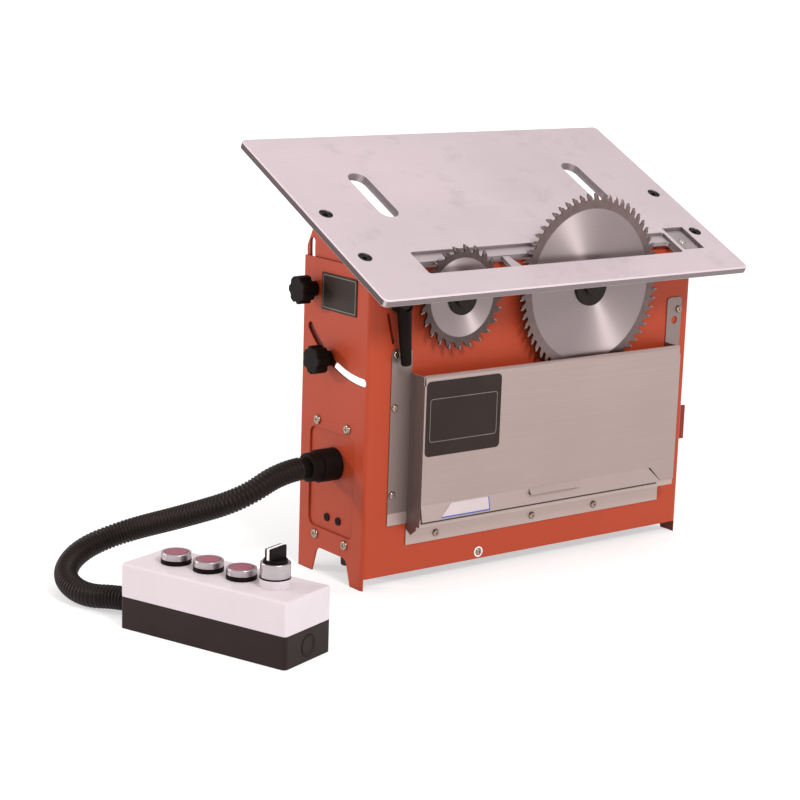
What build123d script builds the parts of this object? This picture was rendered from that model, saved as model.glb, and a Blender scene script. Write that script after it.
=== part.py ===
from build123d import *
import os
from math import acos, atan2, cos, degrees, pi, radians, sin, tan

# Double blade panel saw: a folded body with two saw spindles on a lift carriage, a tilting
# table on two sectors, a dust box with a door, and a control box on a corrugated conduit.
# Sizes are in millimetres and angles in degrees. X runs to the right, Y to the back, Z up.
# Until the pieces are set on the origin at the end, X 0 is the left side's outer face,
# Y 0 the front panel's outer face and Z 0 the floor.

# Folded body
BODY_WIDTH = 452.0
BODY_DEPTH = 117.6
SIDE_HEIGHT = 338.7
SHEET = 2.0
BEND = 5.0
FRONT_LOW = 12.8
FRONT_DROP = 2.7
TOP_FLANGE = 46.0
TOP_FLANGE_INSET = 9.0
SHOULDER_DEPTH = 14.0
SHOULDER_DROP = 8.7
FOOT_FRONT = 22.0
FOOT_BACK = 24.6
ARCH_HEIGHT = 28.0
ARCH_LEAN = 9.0
ARCH_RADIUS = 9.0
SLIT_WIDTH = 3.5
SLIT_LENGTH = 34.0
SLIT_LEAN = 13.5
SLIT_X = 27.0
SLIT_DROP = 62.2

# Cable plate behind the window in the left side
WINDOW_WIDTH = 81.0
WINDOW_HEIGHT = 109.0
WINDOW_CORNER = 9.0
WINDOW_Y = 60.5
WINDOW_Z = 104.5
PLATE_LAP = 15.5
PLATE_SCREW_LAP = 8.0
PLATE_SCREW_SPREAD = 54.0
PLATE_SCREW_HEAD_RADIUS = 5.2
CABLE_HOLE_RADIUS = 4.0
CABLE_HOLE_SPREAD = 20.2
CABLE_HOLE_Z = 64.3

# Rating plate and hook
NAMEPLATE_WIDTH = 62.0
NAMEPLATE_HEIGHT = 39.0
NAMEPLATE_THICK = 0.9
NAMEPLATE_Y = 53.6
NAMEPLATE_DROP = 32.7
HOOK_Y = 16.0
HOOK_LOW = 106.0
HOOK_HEIGHT = 39.5
HOOK_OUT = 20.0
HOOK_BACK = 30.0
HOOK_SHEET = 3.0

# Screws
SCREW_RADIUS = 2.0
SCREW_HEAD_RADIUS = 4.0
SCREW_HEAD = 2.4
SCREW_ROUND = 1.8
SCREW_LENGTH = 8.0
SCREW_GAP = 0.15

# Tilting table; its sectors turn about a line above the body's front edge
PIVOT_Y = 8.0
PIVOT_RISE = 10.1
REST_TILT = 26.5
TILT_MAX = 45.0
TABLE_WIDTH = 508.0
TABLE_DEPTH = 298.0
TABLE_THICK = 9.0
TABLE_ABOVE_PIVOT = 5.0
TABLE_FRONT = 76.6
TABLE_CORNER = 7.0
TABLE_EDGE = 1.4
LONG_SLOT_WIDTH = 24.0
LONG_SLOT_LENGTH = 84.0
LONG_SLOT_FROM_LEFT = 100.8
LONG_SLOT_SPREAD = 302.0
LONG_SLOT_FROM_FRONT = 181.5
OPENING_FROM_FRONT = 38.0
OPENING_WIDTH = 38.5
OPENING_LEFT_GAP = 1.4
OPENING_RIGHT_GAP = 22.2
OPENING_CORNER = 3.0
LEDGE_DEPTH = 4.0
LEDGE_BACK = 13.0
BRIDGE_WIDTH = 7.5
BRIDGE_THICK = 4.0
BRIDGE_GAP = 4.4
BRIDGE_MAIN_GAP = 3.8
BRIDGE_FLARE = 0.23
POCKET_GAP = 5.0
POCKET_WIDTH = 31.0
POCKET_LENGTH = 42.0
POCKET_DEPTH = 5.0
POCKET_FROM_FRONT = 42.0
BLOCK_WIDTH = 22.0
BLOCK_LENGTH = 33.0
TABLE_SCREW_INSET = 22.4
TABLE_SCREW_FRONT = 74.2
TABLE_SCREW_SPREAD = 78.6
TABLE_SCREW_RADIUS = 3.0
TABLE_SCREW_HEAD_RADIUS = 7.2
TABLE_SCREW_HEAD = 4.5
BLOCK_SCREW_RADIUS = 2.0
BLOCK_SCREW_HEAD_RADIUS = 3.8

# Sectors and clamp bolts
SECTOR_SHEET = 3.0
SECTOR_GAP = 0.5
SECTOR_FRONT = 2.0
SECTOR_REACH = 98.0
SECTOR_RIM = 5.2
SLOT_COVER = 24.0
FLANGE_FRONT = 7.4
FLANGE_RIM = 7.5
UPPER_ARC = 100.0
UPPER_BOLT_ANGLE = 25.7
LOWER_ARC = 128.0
LOWER_BOLT_ANGLE = 88.0
BOLT_RADIUS = 4.0
BOLT_HEAD_RADIUS = 7.0
BOLT_HEAD = 4.0
BOSS_RADIUS = 11.0
SLOT_GAP = 0.4
SLOT_SPARE = 2.0
KNOB_RADIUS = 15.0
KNOB_LOBES = 7
KNOB_SCALLOP = 4.0
KNOB_HEAD = 14.0
KNOB_HUB_RADIUS = 8.0
KNOB_HUB = 9.5
KNOB_GAP = 0.5
NUT_HEIGHT = 6.5
NUT_RADIUS = 7.2
RUNNING = 0.06

# Blades and spindles
BLADE_FORWARD = 12.0
MAIN_DIAMETER = 200.0
MAIN_TEETH = 60
SCORING_DIAMETER = 110.0
SCORING_TEETH = 24
SCORING_SHARE = 0.240265
BLADE_GAP = 23.2
SPINDLE_DROP = 33.7
BLADE_THICK = 2.2
GULLET_DEPTH = 7.5
GULLET_START = -0.08
GULLET_END = 0.3
TOOTH_BACK = 0.58
TOOTH_BACK_DROP = 2.6
TOOTH_TIP = 0.98
MAIN_FLANGE_RADIUS = 22.5
SCORING_FLANGE_RADIUS = 18.5
FLANGE_NUT_THICK = 2.4
ARBOR_NUT_RADIUS = 10.4
ARBOR_NUT = 3.0
PIN_HOLE_RADIUS = 1.6
ARBOR_RADIUS = 6.0
SPIGOT_RADIUS = 12.7
SPINDLE_RADIUS = 10.0
PULLEY_SEAT_RADIUS = 8.0
INNER_FLANGE_THICK = 4.0
PANEL_SLOT_GAP = 4.0

# Lift carriage on two guide rods, moved by the lever's pinion and a rack
CARRIAGE_Y = 8.0
CARRIAGE_THICK = 6.0
CARRIAGE_LOW = 92.0
CARRIAGE_TOP_RISE = 8.0
CARRIAGE_EDGE = 20.0
GUIDE_LEFT_SHARE = 0.42035
GUIDE_RIGHT_SHARE = 0.8739
GUIDE_Y = 38.0
GUIDE_RADIUS = 7.0
GUIDE_BUSH_WALL = 3.0
GUIDE_BLOCK = 32.0
GUIDE_BLOCK_HEIGHT = 40.0
GUIDE_BLOCK_DROP = 4.0
BRACKET_THICK = 10.0
BRACKET_GAP = 3.0
BASE_Z = 30.0
BASE_SHEET = 2.0
BASE_LIP = 15.0
GUIDE_BOSS_RADIUS = 12.0
GUIDE_BOSS_HEIGHT = 12.0
HOUSING_LENGTH = 74.0
MAIN_HOUSING_RADIUS = 26.0
SCORING_HOUSING_RADIUS = 24.0
HOUSING_FLANGE = 2.5
HOUSING_FLANGE_THICK = 6.0
BEARING_RADIUS = 20.0
BEARING_WIDTH = 14.0
BEARING_INSET = 2.0
MOTOR_FRONT_GAP = 2.0
MOTOR_LENGTH = 72.0
MOTOR_WALL = 6.0
MAIN_MOTOR_RADIUS = 50.0
MAIN_MOTOR_DROP = 155.0
SCORING_MOTOR_RADIUS = 36.0
SCORING_MOTOR_DROP = 115.0
MOTOR_FINS = 9
FIN_DEPTH = 2.5
ROTOR_GAP = 2.0
ROTOR_SHAFT_RADIUS = 7.0
PULLEY_GAP = 5.0
PULLEY_WIDTH = 15.0
MAIN_PULLEY_RADIUS = 20.0
MAIN_MOTOR_PULLEY_RADIUS = 28.0
SCORING_PULLEY_RADIUS = 16.0
SCORING_MOTOR_PULLEY_RADIUS = 24.0
BELT_THICK = 4.0
BELT_GAP = 0.3
LEVER_X = 33.5
LEVER_DROP = 35.7
LEVER_SWING = 75.0
LEVER_SHAFT_RADIUS = 6.0
LEVER_HUB_RADIUS = 9.0
LEVER_Y = 12.0
LEVER_LENGTH = 64.0
LEVER_LEAN = 5.0
LEVER_TOP_RADIUS = 7.8
LEVER_TIP_RADIUS = 5.4
LEVER_TIP_ROUND = 2.2
LEVER_GAP = 1.5
LEVER_BUSH_WALL = 4.0
PINION_TEETH = 22
PINION_MODULE = 1.5
PINION_WIDTH = 10.0
PRESSURE_ANGLE = 20.0
BACKLASH = 0.4
RACK_TEETH = 12
RACK_BACK = 8.0

# Dust box and its door
BOX_SHEET = 1.2
BOX_LEFT = 54.0
BOX_RIGHT_INSET = 34.0
BOX_LOW = 67.0
BOX_HIGH = 228.0
BOX_OUT = 24.0
LEFT_FLANGE_WIDTH = 25.0
LEFT_FLANGE_TOP = 254.0
RIGHT_FLANGE_WIDTH = 21.0
RIGHT_FLANGE_TOP = 279.0
FLANGE_CORNER = 4.0
STRIP_LOW = 43.0
UPSTAND = 14.0
TAB_DROP = 11.0
TAB_WIDTH = 18.5
FLANGE_SCREW_INSET = 5.0
FLANGE_SCREW_TOP_DROP = 4.6
FLANGE_SCREW_MIDDLE = 193.0
FLANGE_SCREW_LOW = 100.0
STRIP_SCREW_RISE = 8.0
STRIP_SCREWS = (94.0, 228.0, 319.0)
BASE_SCREW_X = 154.6
BASE_SCREW_RISE = 7.6
FLANGE_HOLE_RADIUS = 4.4
FLANGE_HOLE_DROP = 26.0
HINGE_RADIUS = 1.6
HINGE_GAP = 0.3
HINGE_Z = 224.0
HINGE_IN = 1.2
DOOR_LOW = 74.0
DOOR_GAP = 0.3
DOOR_KICK_HEIGHT = 17.0
DOOR_KICK = 3.5
KICK_END_INSET = 40.0
KICK_SLIT = 2.6
PULL_X = 236.0
PULL_WIDTH = 68.0
PULL_HEIGHT = 6.5
PULL_LIP = 5.0

# Conduit between the body and the control box
CUFF_Y = 58.5
CUFF_Z = 125.0
CUFF_RADIUS = 17.4
CUFF_LENGTH = 22.0
CUFF_RING_RADIUS = 15.4
CUFF_RING = 14.0
CUFF_ROUND = 1.8
CUFF_THREAD_RADIUS = 13.0
CUFF_THREAD = 14.0
LOCKNUT = 5.0
LOCKNUT_RADIUS = 18.0
HOSE_RADIUS = 12.2
HOSE_ROOT_RADIUS = 11.0
HOSE_BORE_RADIUS = 8.2
RIB_PITCH = 4.0
# The conduit's route: its ends are square to the cuff and the gland, its middle is hand-chosen
CUFF_RUN = 29.3
GLAND_RUN = 17.2
HOSE_MIDDLE = [
    (-109.3, 62.5, 100.6),
    (-144.0, 117.9, 74.1),
    (-181.3, 179.1, 48.3),
    (-230.8, 186.2, 33.4),
    (-267.1, 155.7, 19.5),
    (-269.4, 107.5, 11.6),
]

# Control box, standing on the floor at a slant to the saw
CONTROL_X = -201.1
CONTROL_Y = -50.6
CONTROL_HEADING = -70.3
CONTROL_LENGTH = 199.6
CONTROL_WIDTH = 72.4
CONTROL_SPLIT = 32.4
CONTROL_HEIGHT = 65.7
CONTROL_WALL = 3.0
CONTROL_CORNER = 4.0
LID_CORNER = 2.5
POST_RADIUS = 5.0
POST_INSET = 9.0
BOX_SCREW_RADIUS = 1.7
BOX_SCREW_HEAD_RADIUS = 3.4
BOX_SCREW_RECESS = 1.0
GLAND_Z = 15.5
GLAND_RADIUS = 13.0
GLAND_NUT_RADIUS = 12.2
GLAND_LENGTH = 15.0
GLAND_THREAD_RADIUS = 9.5
KNOCKOUT_RADIUS = 11.0
KNOCKOUT_GROOVE = 0.7
SWITCH_PITCH = 40.0
SWITCH_NECK_RADIUS = 10.9
SWITCH_NECK_BORE = 8.5
SWITCH_NECK_DROP = 16.0
SWITCH_RING_RADIUS = 15.0
SWITCH_RING = 4.6
BEZEL_RADIUS = 14.7
BEZEL_WALL = 2.6
BEZEL_FLOOR = 1.0
BEZEL_HEIGHT = 6.4
CAP_THICK = 2.6
CAP_PROUD = 0.4
CAP_GAP = 0.4
CAP_STEM_RADIUS = 5.0
CAP_TRAVEL = 2.5
SELECTOR_BOSS = 8.5
SELECTOR_RING = 1.5
SELECTOR_HEIGHT = 14.0
SELECTOR_COLLAR = 3.0
SELECTOR_GRIP_LENGTH = 24.0
SELECTOR_GRIP_WIDTH = 7.5
SELECTOR_GRIP_HEIGHT = 11.5
CONTACT_SIZE = 26.0
CONTACT_HEIGHT = 15.0

# Places worked out from the sizes above
PIVOT_Z = SIDE_HEIGHT + PIVOT_RISE
FRONT_TOP = SIDE_HEIGHT - FRONT_DROP
SLIT_Z = SIDE_HEIGHT - SLIT_DROP
NAMEPLATE_Z = SIDE_HEIGHT - NAMEPLATE_DROP
SCORING_X = BODY_WIDTH * SCORING_SHARE
MAIN_X = SCORING_X + (SCORING_DIAMETER + MAIN_DIAMETER) / 2 + BLADE_GAP
SPINDLE_Z = SIDE_HEIGHT - SPINDLE_DROP
MAIN_MOTOR_Z = SPINDLE_Z - MAIN_MOTOR_DROP
SCORING_MOTOR_Z = SPINDLE_Z - SCORING_MOTOR_DROP
LEVER_Z = SIDE_HEIGHT - LEVER_DROP
BOX_RIGHT = BODY_WIDTH - BOX_RIGHT_INSET
TABLE_LEFT = (BODY_WIDTH - TABLE_WIDTH) / 2
TABLE_RIGHT = TABLE_LEFT + TABLE_WIDTH
TABLE_TOP = TABLE_ABOVE_PIVOT
TABLE_UNDER = TABLE_TOP - TABLE_THICK
PINION_RADIUS = PINION_MODULE * PINION_TEETH / 2
LIFT = PINION_RADIUS * radians(LEVER_SWING)
CARRIAGE_BACK = CARRIAGE_Y + CARRIAGE_THICK
HOUSING_BACK = CARRIAGE_BACK + HOUSING_LENGTH
PULLEY_FRONT = HOUSING_BACK + PULLEY_GAP
PULLEY_BACK = PULLEY_FRONT + PULLEY_WIDTH
MOTOR_FRONT = CARRIAGE_BACK + MOTOR_FRONT_GAP
MOTOR_BACK = MOTOR_FRONT + MOTOR_LENGTH
BLADE_FACE = -BLADE_FORWARD - BLADE_THICK / 2
BLADE_REAR = -BLADE_FORWARD + BLADE_THICK / 2
BASE_TOP = BASE_Z + BASE_SHEET
CARRIAGE_TOP = SPINDLE_Z + CARRIAGE_TOP_RISE
GUIDE_XS = (BODY_WIDTH * GUIDE_LEFT_SHARE, BODY_WIDTH * GUIDE_RIGHT_SHARE)
BUSH_RADIUS = GUIDE_RADIUS + GUIDE_BUSH_WALL
CABLE_PLATE_BACK = SHEET + SHEET
CUFF_MOUTH = SHEET - CUFF_LENGTH - CUFF_RING
HEAD_Z = CONTROL_HEIGHT + SWITCH_RING
SELECTOR_Z = CONTROL_HEIGHT + SELECTOR_BOSS
NECK_LOW = CONTROL_HEIGHT - SWITCH_NECK_DROP
SWITCH_PLACES = [(k - 1.5) * SWITCH_PITCH for k in range(4)]

nodes = {}


def slab(x0, x1, y0, y1, z0, z1):
    """A block between two corners."""
    block = Box(x1 - x0, y1 - y0, z1 - z0)
    return Pos((x0 + x1) / 2, (y0 + y1) / 2, (z0 + z1) / 2) * block


def rod_x(radius, x0, x1, y, z):
    """A round bar along X."""
    return Pos((x0 + x1) / 2, y, z) * Rot(0, 90, 0) * Cylinder(radius, x1 - x0)


def rod_y(radius, y0, y1, x, z):
    """A round bar along Y."""
    return Pos(x, (y0 + y1) / 2, z) * Rot(90, 0, 0) * Cylinder(radius, y1 - y0)


def rod_z(radius, z0, z1, x, y):
    """A round bar along Z."""
    return Pos(x, y, (z0 + z1) / 2) * Cylinder(radius, z1 - z0)


def along_x(outline, x0, x1):
    """An outline drawn in (y, z), thickened from x0 to x1."""
    return Pos(x0, 0, 0) * extrude(Plane.YZ * outline, x1 - x0)


def along_y(outline, y0, y1):
    """An outline drawn in (x, z), thickened from y0 to y1."""
    return Pos(0, y1, 0) * extrude(Plane.XZ * outline, y1 - y0)


def along_z(outline, z0, z1):
    """An outline drawn in (x, y), thickened from z0 to z1."""
    return Pos(0, 0, z0) * extrude(outline, z1 - z0)


def polygon(points):
    """A flat face with straight sides."""
    return make_face(Polyline(*points, close=True))


def corner(face, x, y):
    """The vertex of a flat face that lies nearest to a point."""
    return face.vertices().sort_by(lambda v: (v.X - x) ** 2 + (v.Y - y) ** 2)[0]


def arc_slot(radius, start, end, width):
    """A slot along an arc about the origin, between two angles."""
    return SlotArc(CenterArc((0, 0), radius, start, end - start), width)


def on_table(piece):
    """Sets a piece drawn on a level table, with the tilt line at the origin, to the rest tilt."""
    return Pos(0, PIVOT_Y, PIVOT_Z) * Rot(REST_TILT, 0, 0) * piece


def on_control(piece):
    """Sets a piece drawn about the control box's own middle to its place on the floor."""
    return Pos(CONTROL_X, CONTROL_Y, 0) * Rot(0, 0, CONTROL_HEADING) * piece


def swap_sides(piece):
    """The same piece on the body's right side."""
    return Pos(BODY_WIDTH, 0, 0) * mirror(piece, Plane.YZ)


def pan_screw(length=SCREW_LENGTH, radius=SCREW_HEAD_RADIUS):
    """A pan head screw with its head's seat at Z 0 and its shank pointing down."""
    dome = Pos(0, 0, SCREW_HEAD / 2) * Cylinder(radius, SCREW_HEAD)
    dome = fillet(dome.edges().group_by(Axis.Z)[-1], SCREW_ROUND)
    recess = Pos(0, 0, SCREW_HEAD) * Box(radius, SCREW_HEAD / 3, SCREW_HEAD)
    cross = recess + Rot(0, 0, 90) * recess
    return dome - cross + rod_z(SCREW_RADIUS, -length, 0, 0, 0)


def upper_bolt_place():
    """Y and Z of the clamp bolts that stay in the sides."""
    angle = radians(UPPER_BOLT_ANGLE)
    return PIVOT_Y + UPPER_ARC * cos(angle), PIVOT_Z - UPPER_ARC * sin(angle)


def lower_bolt_place():
    """Y and Z, on the level table, of the clamp bolts that turn with the sectors."""
    angle = radians(LOWER_BOLT_ANGLE)
    return LOWER_ARC * cos(angle), -LOWER_ARC * sin(angle)


# Body
def body_shell():
    outer = slab(0, BODY_WIDTH, 0, BODY_DEPTH, 0, SIDE_HEIGHT)
    outer = fillet(outer.edges().filter_by(Axis.Z).group_by(Axis.Y)[0], BEND)
    inner = slab(SHEET, BODY_WIDTH - SHEET, SHEET, BODY_DEPTH + BEND, -SHEET, SIDE_HEIGHT + SHEET)
    inner = fillet(inner.edges().filter_by(Axis.Z).group_by(Axis.Y)[0], BEND - SHEET)
    shell = outer - inner
    over = SIDE_HEIGHT + SHEET
    low = SIDE_HEIGHT - SHOULDER_DROP
    shoulder = polygon([(-1, low), (0, low), (SHOULDER_DEPTH, SIDE_HEIGHT), (SHOULDER_DEPTH, over),
                        (-1, over)])
    shell -= along_x(shoulder, -1, BODY_WIDTH + 1)
    shell -= slab(SHEET, BODY_WIDTH - SHEET, -1, SHEET + 1, -1, FRONT_LOW)
    arch = polygon([(FOOT_FRONT, -1), (FOOT_FRONT + ARCH_LEAN, ARCH_HEIGHT),
                    (BODY_DEPTH - FOOT_BACK - ARCH_LEAN, ARCH_HEIGHT), (BODY_DEPTH - FOOT_BACK, -1)])
    arch = fillet([corner(arch, 0, ARCH_HEIGHT), corner(arch, BODY_DEPTH, ARCH_HEIGHT)], ARCH_RADIUS)
    shell -= along_x(arch, -1, BODY_WIDTH + 1)
    left, right = TOP_FLANGE_INSET, BODY_WIDTH - TOP_FLANGE_INSET
    root = FRONT_TOP - 2 * BEND
    shell -= slab(left, right, -1, SHEET + 1, root, over)
    fold = polygon([(0, root), (0, FRONT_TOP), (TOP_FLANGE, FRONT_TOP), (TOP_FLANGE, FRONT_TOP - SHEET),
                    (SHEET, FRONT_TOP - SHEET), (SHEET, root)])
    fold = fillet(corner(fold, 0, FRONT_TOP), BEND)
    fold = fillet(corner(fold, SHEET, FRONT_TOP - SHEET), BEND - SHEET)
    shell += along_x(fold, left, right)
    window = Pos(WINDOW_Y, WINDOW_Z) * RectangleRounded(WINDOW_WIDTH, WINDOW_HEIGHT, WINDOW_CORNER)
    shell -= along_x(window, -1, SHEET + 1)
    for y, z in plate_screw_places():
        shell -= rod_x(SCREW_RADIUS + SCREW_GAP, -1, SHEET + 1, y, z)
    slot = arc_slot(LOWER_ARC, -LOWER_BOLT_ANGLE - SLOT_SPARE, -LOWER_BOLT_ANGLE + TILT_MAX + SLOT_SPARE,
                    2 * (BOLT_RADIUS + SLOT_GAP))
    shell -= along_x(Pos(PIVOT_Y, PIVOT_Z) * slot, -1, BODY_WIDTH + 1)
    y, z = upper_bolt_place()
    shell -= rod_x(BOLT_RADIUS + RUNNING, -1, BODY_WIDTH + 1, y, z)
    width = 2 * (SPIGOT_RADIUS + PANEL_SLOT_GAP)
    for x in (MAIN_X, SCORING_X):
        travel = Pos(x, SPINDLE_Z - LIFT / 2) * Rot(0, 0, 90) * SlotCenterToCenter(LIFT, width)
        shell -= along_y(travel, -1, SHEET + 1)
    shell -= rod_y(LEVER_SHAFT_RADIUS + LEVER_BUSH_WALL + SCREW_GAP, -1, SHEET + 1, LEVER_X, LEVER_Z)
    slit = Pos(SLIT_X, SLIT_Z) * Rot(0, 0, 90 + SLIT_LEAN) * SlotOverall(SLIT_LENGTH, SLIT_WIDTH)
    shell -= along_y(slit, -1, SHEET + 1)
    for x, z in front_screw_places():
        shell -= rod_y(SCREW_RADIUS + SCREW_GAP, -1, SHEET + 1, x, z)
    return shell


def plate_screw_places():
    half = PLATE_SCREW_SPREAD / 2
    reach = WINDOW_HEIGHT / 2 + PLATE_SCREW_LAP
    return [(WINDOW_Y + a * half, WINDOW_Z + b * reach) for a in (-1, 1) for b in (-1, 1)]


def cable_plate():
    face = Pos(WINDOW_Y, WINDOW_Z) * Rectangle(WINDOW_WIDTH + PLATE_LAP, WINDOW_HEIGHT + 2 * PLATE_LAP)
    plate = along_x(face, SHEET, CABLE_PLATE_BACK)
    for y, z in plate_screw_places():
        plate -= rod_x(SCREW_RADIUS + SCREW_GAP, 0, 2 * CABLE_PLATE_BACK, y, z)
    for side in (-1, 1):
        y = CUFF_Y + side * CABLE_HOLE_SPREAD / 2
        plate -= rod_x(CABLE_HOLE_RADIUS, 0, 2 * CABLE_PLATE_BACK, y, CABLE_HOLE_Z)
    return plate - rod_x(CUFF_THREAD_RADIUS + SCREW_GAP, 0, 2 * CABLE_PLATE_BACK, CUFF_Y, CUFF_Z)


def cable_plate_screws():
    screw = Rot(0, -90, 0) * pan_screw(radius=PLATE_SCREW_HEAD_RADIUS)
    return [Pos(0, y, z) * screw for y, z in plate_screw_places()]


def nameplate():
    face = Pos(NAMEPLATE_Y, NAMEPLATE_Z) * RectangleRounded(NAMEPLATE_WIDTH, NAMEPLATE_HEIGHT, 1.5)
    return along_x(face, -NAMEPLATE_THICK, 0)


def side_hook():
    x = BODY_WIDTH
    high = HOOK_LOW + HOOK_HEIGHT
    hook = slab(x, x + HOOK_SHEET, HOOK_Y, HOOK_Y + HOOK_BACK, HOOK_LOW, high)
    return hook + slab(x, x + HOOK_OUT, HOOK_Y, HOOK_Y + HOOK_SHEET, HOOK_LOW, high)


def base_plate():
    plate = slab(SHEET, BODY_WIDTH - SHEET, SHEET + BEND, BODY_DEPTH, BASE_Z, BASE_TOP)
    plate += slab(BEND + SHEET, BODY_WIDTH - BEND - SHEET, SHEET, SHEET + BEND, BASE_Z, BASE_TOP)
    plate += slab(BEND + SHEET, BODY_WIDTH - BEND - SHEET, SHEET, 2 * SHEET, BASE_Z - BASE_LIP, BASE_TOP)
    for x in GUIDE_XS:
        plate += rod_z(GUIDE_BOSS_RADIUS, BASE_Z, BASE_TOP + GUIDE_BOSS_HEIGHT, x, GUIDE_Y)
        plate -= rod_z(GUIDE_RADIUS + RUNNING, BASE_TOP, 2 * SIDE_HEIGHT, x, GUIDE_Y)
    z = FRONT_LOW + BASE_SCREW_RISE
    return plate - rod_y(SCREW_RADIUS + SCREW_GAP, 0, 3 * SHEET, BASE_SCREW_X, z)


def guide_rods():
    top = CARRIAGE_TOP + BRACKET_GAP + BRACKET_THICK
    return [rod_z(GUIDE_RADIUS, BASE_TOP, top, x, GUIDE_Y) for x in GUIDE_XS]


def guide_brackets():
    low = CARRIAGE_TOP + BRACKET_GAP
    brackets = []
    for x in GUIDE_XS:
        half = GUIDE_BLOCK / 2
        block = slab(x - half, x + half, SHEET, GUIDE_Y + half, low, low + BRACKET_THICK)
        block -= rod_z(GUIDE_RADIUS + RUNNING, low - 1, low + 2 * BRACKET_THICK, x, GUIDE_Y)
        brackets.append(block)
    return brackets


def lever_bush():
    radius = LEVER_SHAFT_RADIUS + LEVER_BUSH_WALL
    bush = rod_y(radius, -LEVER_GAP, CARRIAGE_Y, LEVER_X, LEVER_Z)
    bush += rod_y(radius + LEVER_BUSH_WALL, SHEET, SHEET + LEVER_BUSH_WALL, LEVER_X, LEVER_Z)
    return bush - rod_y(LEVER_SHAFT_RADIUS + RUNNING, -CARRIAGE_Y, 2 * CARRIAGE_Y, LEVER_X, LEVER_Z)


# Tilting table
def table_screw_places():
    """The fixing screws stand beside the corner pocket, or behind it on a narrow table."""
    xs = (TABLE_LEFT + TABLE_SCREW_INSET, TABLE_RIGHT - TABLE_SCREW_INSET)
    pocket_left, pocket_front = pocket_place()
    room = TABLE_SCREW_HEAD_RADIUS + 2 * SLOT_GAP
    front = TABLE_SCREW_FRONT - TABLE_FRONT
    if xs[1] - room < pocket_left + POCKET_WIDTH:
        front = max(front, pocket_front + POCKET_LENGTH + room)
    return [(x, y) for x in xs for y in (front, front + TABLE_SCREW_SPREAD)]


def opening_ends():
    left = SCORING_X - SCORING_DIAMETER / 2 - OPENING_LEFT_GAP
    right = MAIN_X + MAIN_DIAMETER / 2 + OPENING_RIGHT_GAP
    return left, right


def bridge(front):
    """The low bar across the opening between the blades, flared towards the front."""
    left = SCORING_X + SCORING_DIAMETER / 2 + BRIDGE_GAP
    back = front + OPENING_WIDTH
    right = left + BRIDGE_WIDTH
    front_right = MAIN_X - MAIN_DIAMETER / 2 - BRIDGE_MAIN_GAP
    waist = right + BRIDGE_FLARE * (front_right - right)
    middle = front + OPENING_WIDTH / 2
    return polygon([(left - BRIDGE_WIDTH / 4, front), (front_right, front), (waist, middle), (right, back),
                    (left, back)])


def pocket_place():
    """Left end, front and middle of the corner pocket, on the level table."""
    left = opening_ends()[1] + POCKET_GAP
    front = POCKET_FROM_FRONT - TABLE_FRONT
    return left, front


def block_screw_place():
    left, front = pocket_place()
    return left + BLOCK_WIDTH / 2, front + BLOCK_LENGTH / 2


def table_plate():
    back = TABLE_DEPTH - TABLE_FRONT
    plate = slab(TABLE_LEFT, TABLE_RIGHT, -TABLE_FRONT, back, TABLE_UNDER, TABLE_TOP)
    plate = fillet(plate.edges().filter_by(Axis.Z), TABLE_CORNER)
    plate = chamfer(plate.edges().group_by(Axis.Z)[-1] + plate.edges().group_by(Axis.Z)[0], TABLE_EDGE)
    for k in range(2):
        spot = Pos(TABLE_LEFT + LONG_SLOT_FROM_LEFT + k * LONG_SLOT_SPREAD, LONG_SLOT_FROM_FRONT - TABLE_FRONT)
        slot = spot * Rot(0, 0, 90) * SlotOverall(LONG_SLOT_LENGTH, LONG_SLOT_WIDTH)
        plate -= along_z(slot, TABLE_UNDER - 1, TABLE_TOP + 1)
    left, right = opening_ends()
    front = OPENING_FROM_FRONT - TABLE_FRONT
    rebate = Pos((left + right) / 2, front + OPENING_WIDTH / 2)
    rebate = rebate * RectangleRounded(right - left, OPENING_WIDTH, OPENING_CORNER)
    plate -= along_z(rebate, TABLE_TOP - LEDGE_DEPTH, TABLE_TOP + 1)
    depth = OPENING_WIDTH - LEDGE_BACK
    through = Pos((left + right) / 2, front + depth / 2)
    through = through * RectangleRounded(right - left, depth, OPENING_CORNER)
    hole = along_z(through, TABLE_UNDER - 1, TABLE_TOP + 1)
    plate -= hole - along_z(bridge(front), TABLE_UNDER - 2, TABLE_UNDER + BRIDGE_THICK)
    left, front = pocket_place()
    plate -= slab(left, left + POCKET_WIDTH, front, front + POCKET_LENGTH, TABLE_TOP - POCKET_DEPTH,
                  TABLE_TOP + 1)
    for x, y in table_screw_places():
        plate -= rod_z(TABLE_SCREW_RADIUS + SCREW_GAP, TABLE_UNDER - 1, TABLE_TOP, x, y)
        plate -= rod_z(TABLE_SCREW_HEAD_RADIUS + SLOT_GAP, table_screw_seat(), TABLE_TOP + 1, x, y)
    plate -= rod_z(BLOCK_SCREW_RADIUS + SCREW_GAP, TABLE_UNDER - 1, TABLE_TOP, *block_screw_place())
    return on_table(plate)


def table_screw_seat():
    return TABLE_TOP - TABLE_SCREW_HEAD - TABLE_EDGE


def insert_block():
    left, front = pocket_place()
    floor = TABLE_TOP - POCKET_DEPTH
    block = slab(left, left + BLOCK_WIDTH, front, front + BLOCK_LENGTH, floor, TABLE_TOP - TABLE_EDGE)
    x, y = block_screw_place()
    block -= rod_z(BLOCK_SCREW_RADIUS + SCREW_GAP, floor - 1, TABLE_TOP, x, y)
    block -= rod_z(BLOCK_SCREW_HEAD_RADIUS + SLOT_GAP, floor + POCKET_DEPTH / 3, TABLE_TOP, x, y)
    return on_table(block)


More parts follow.
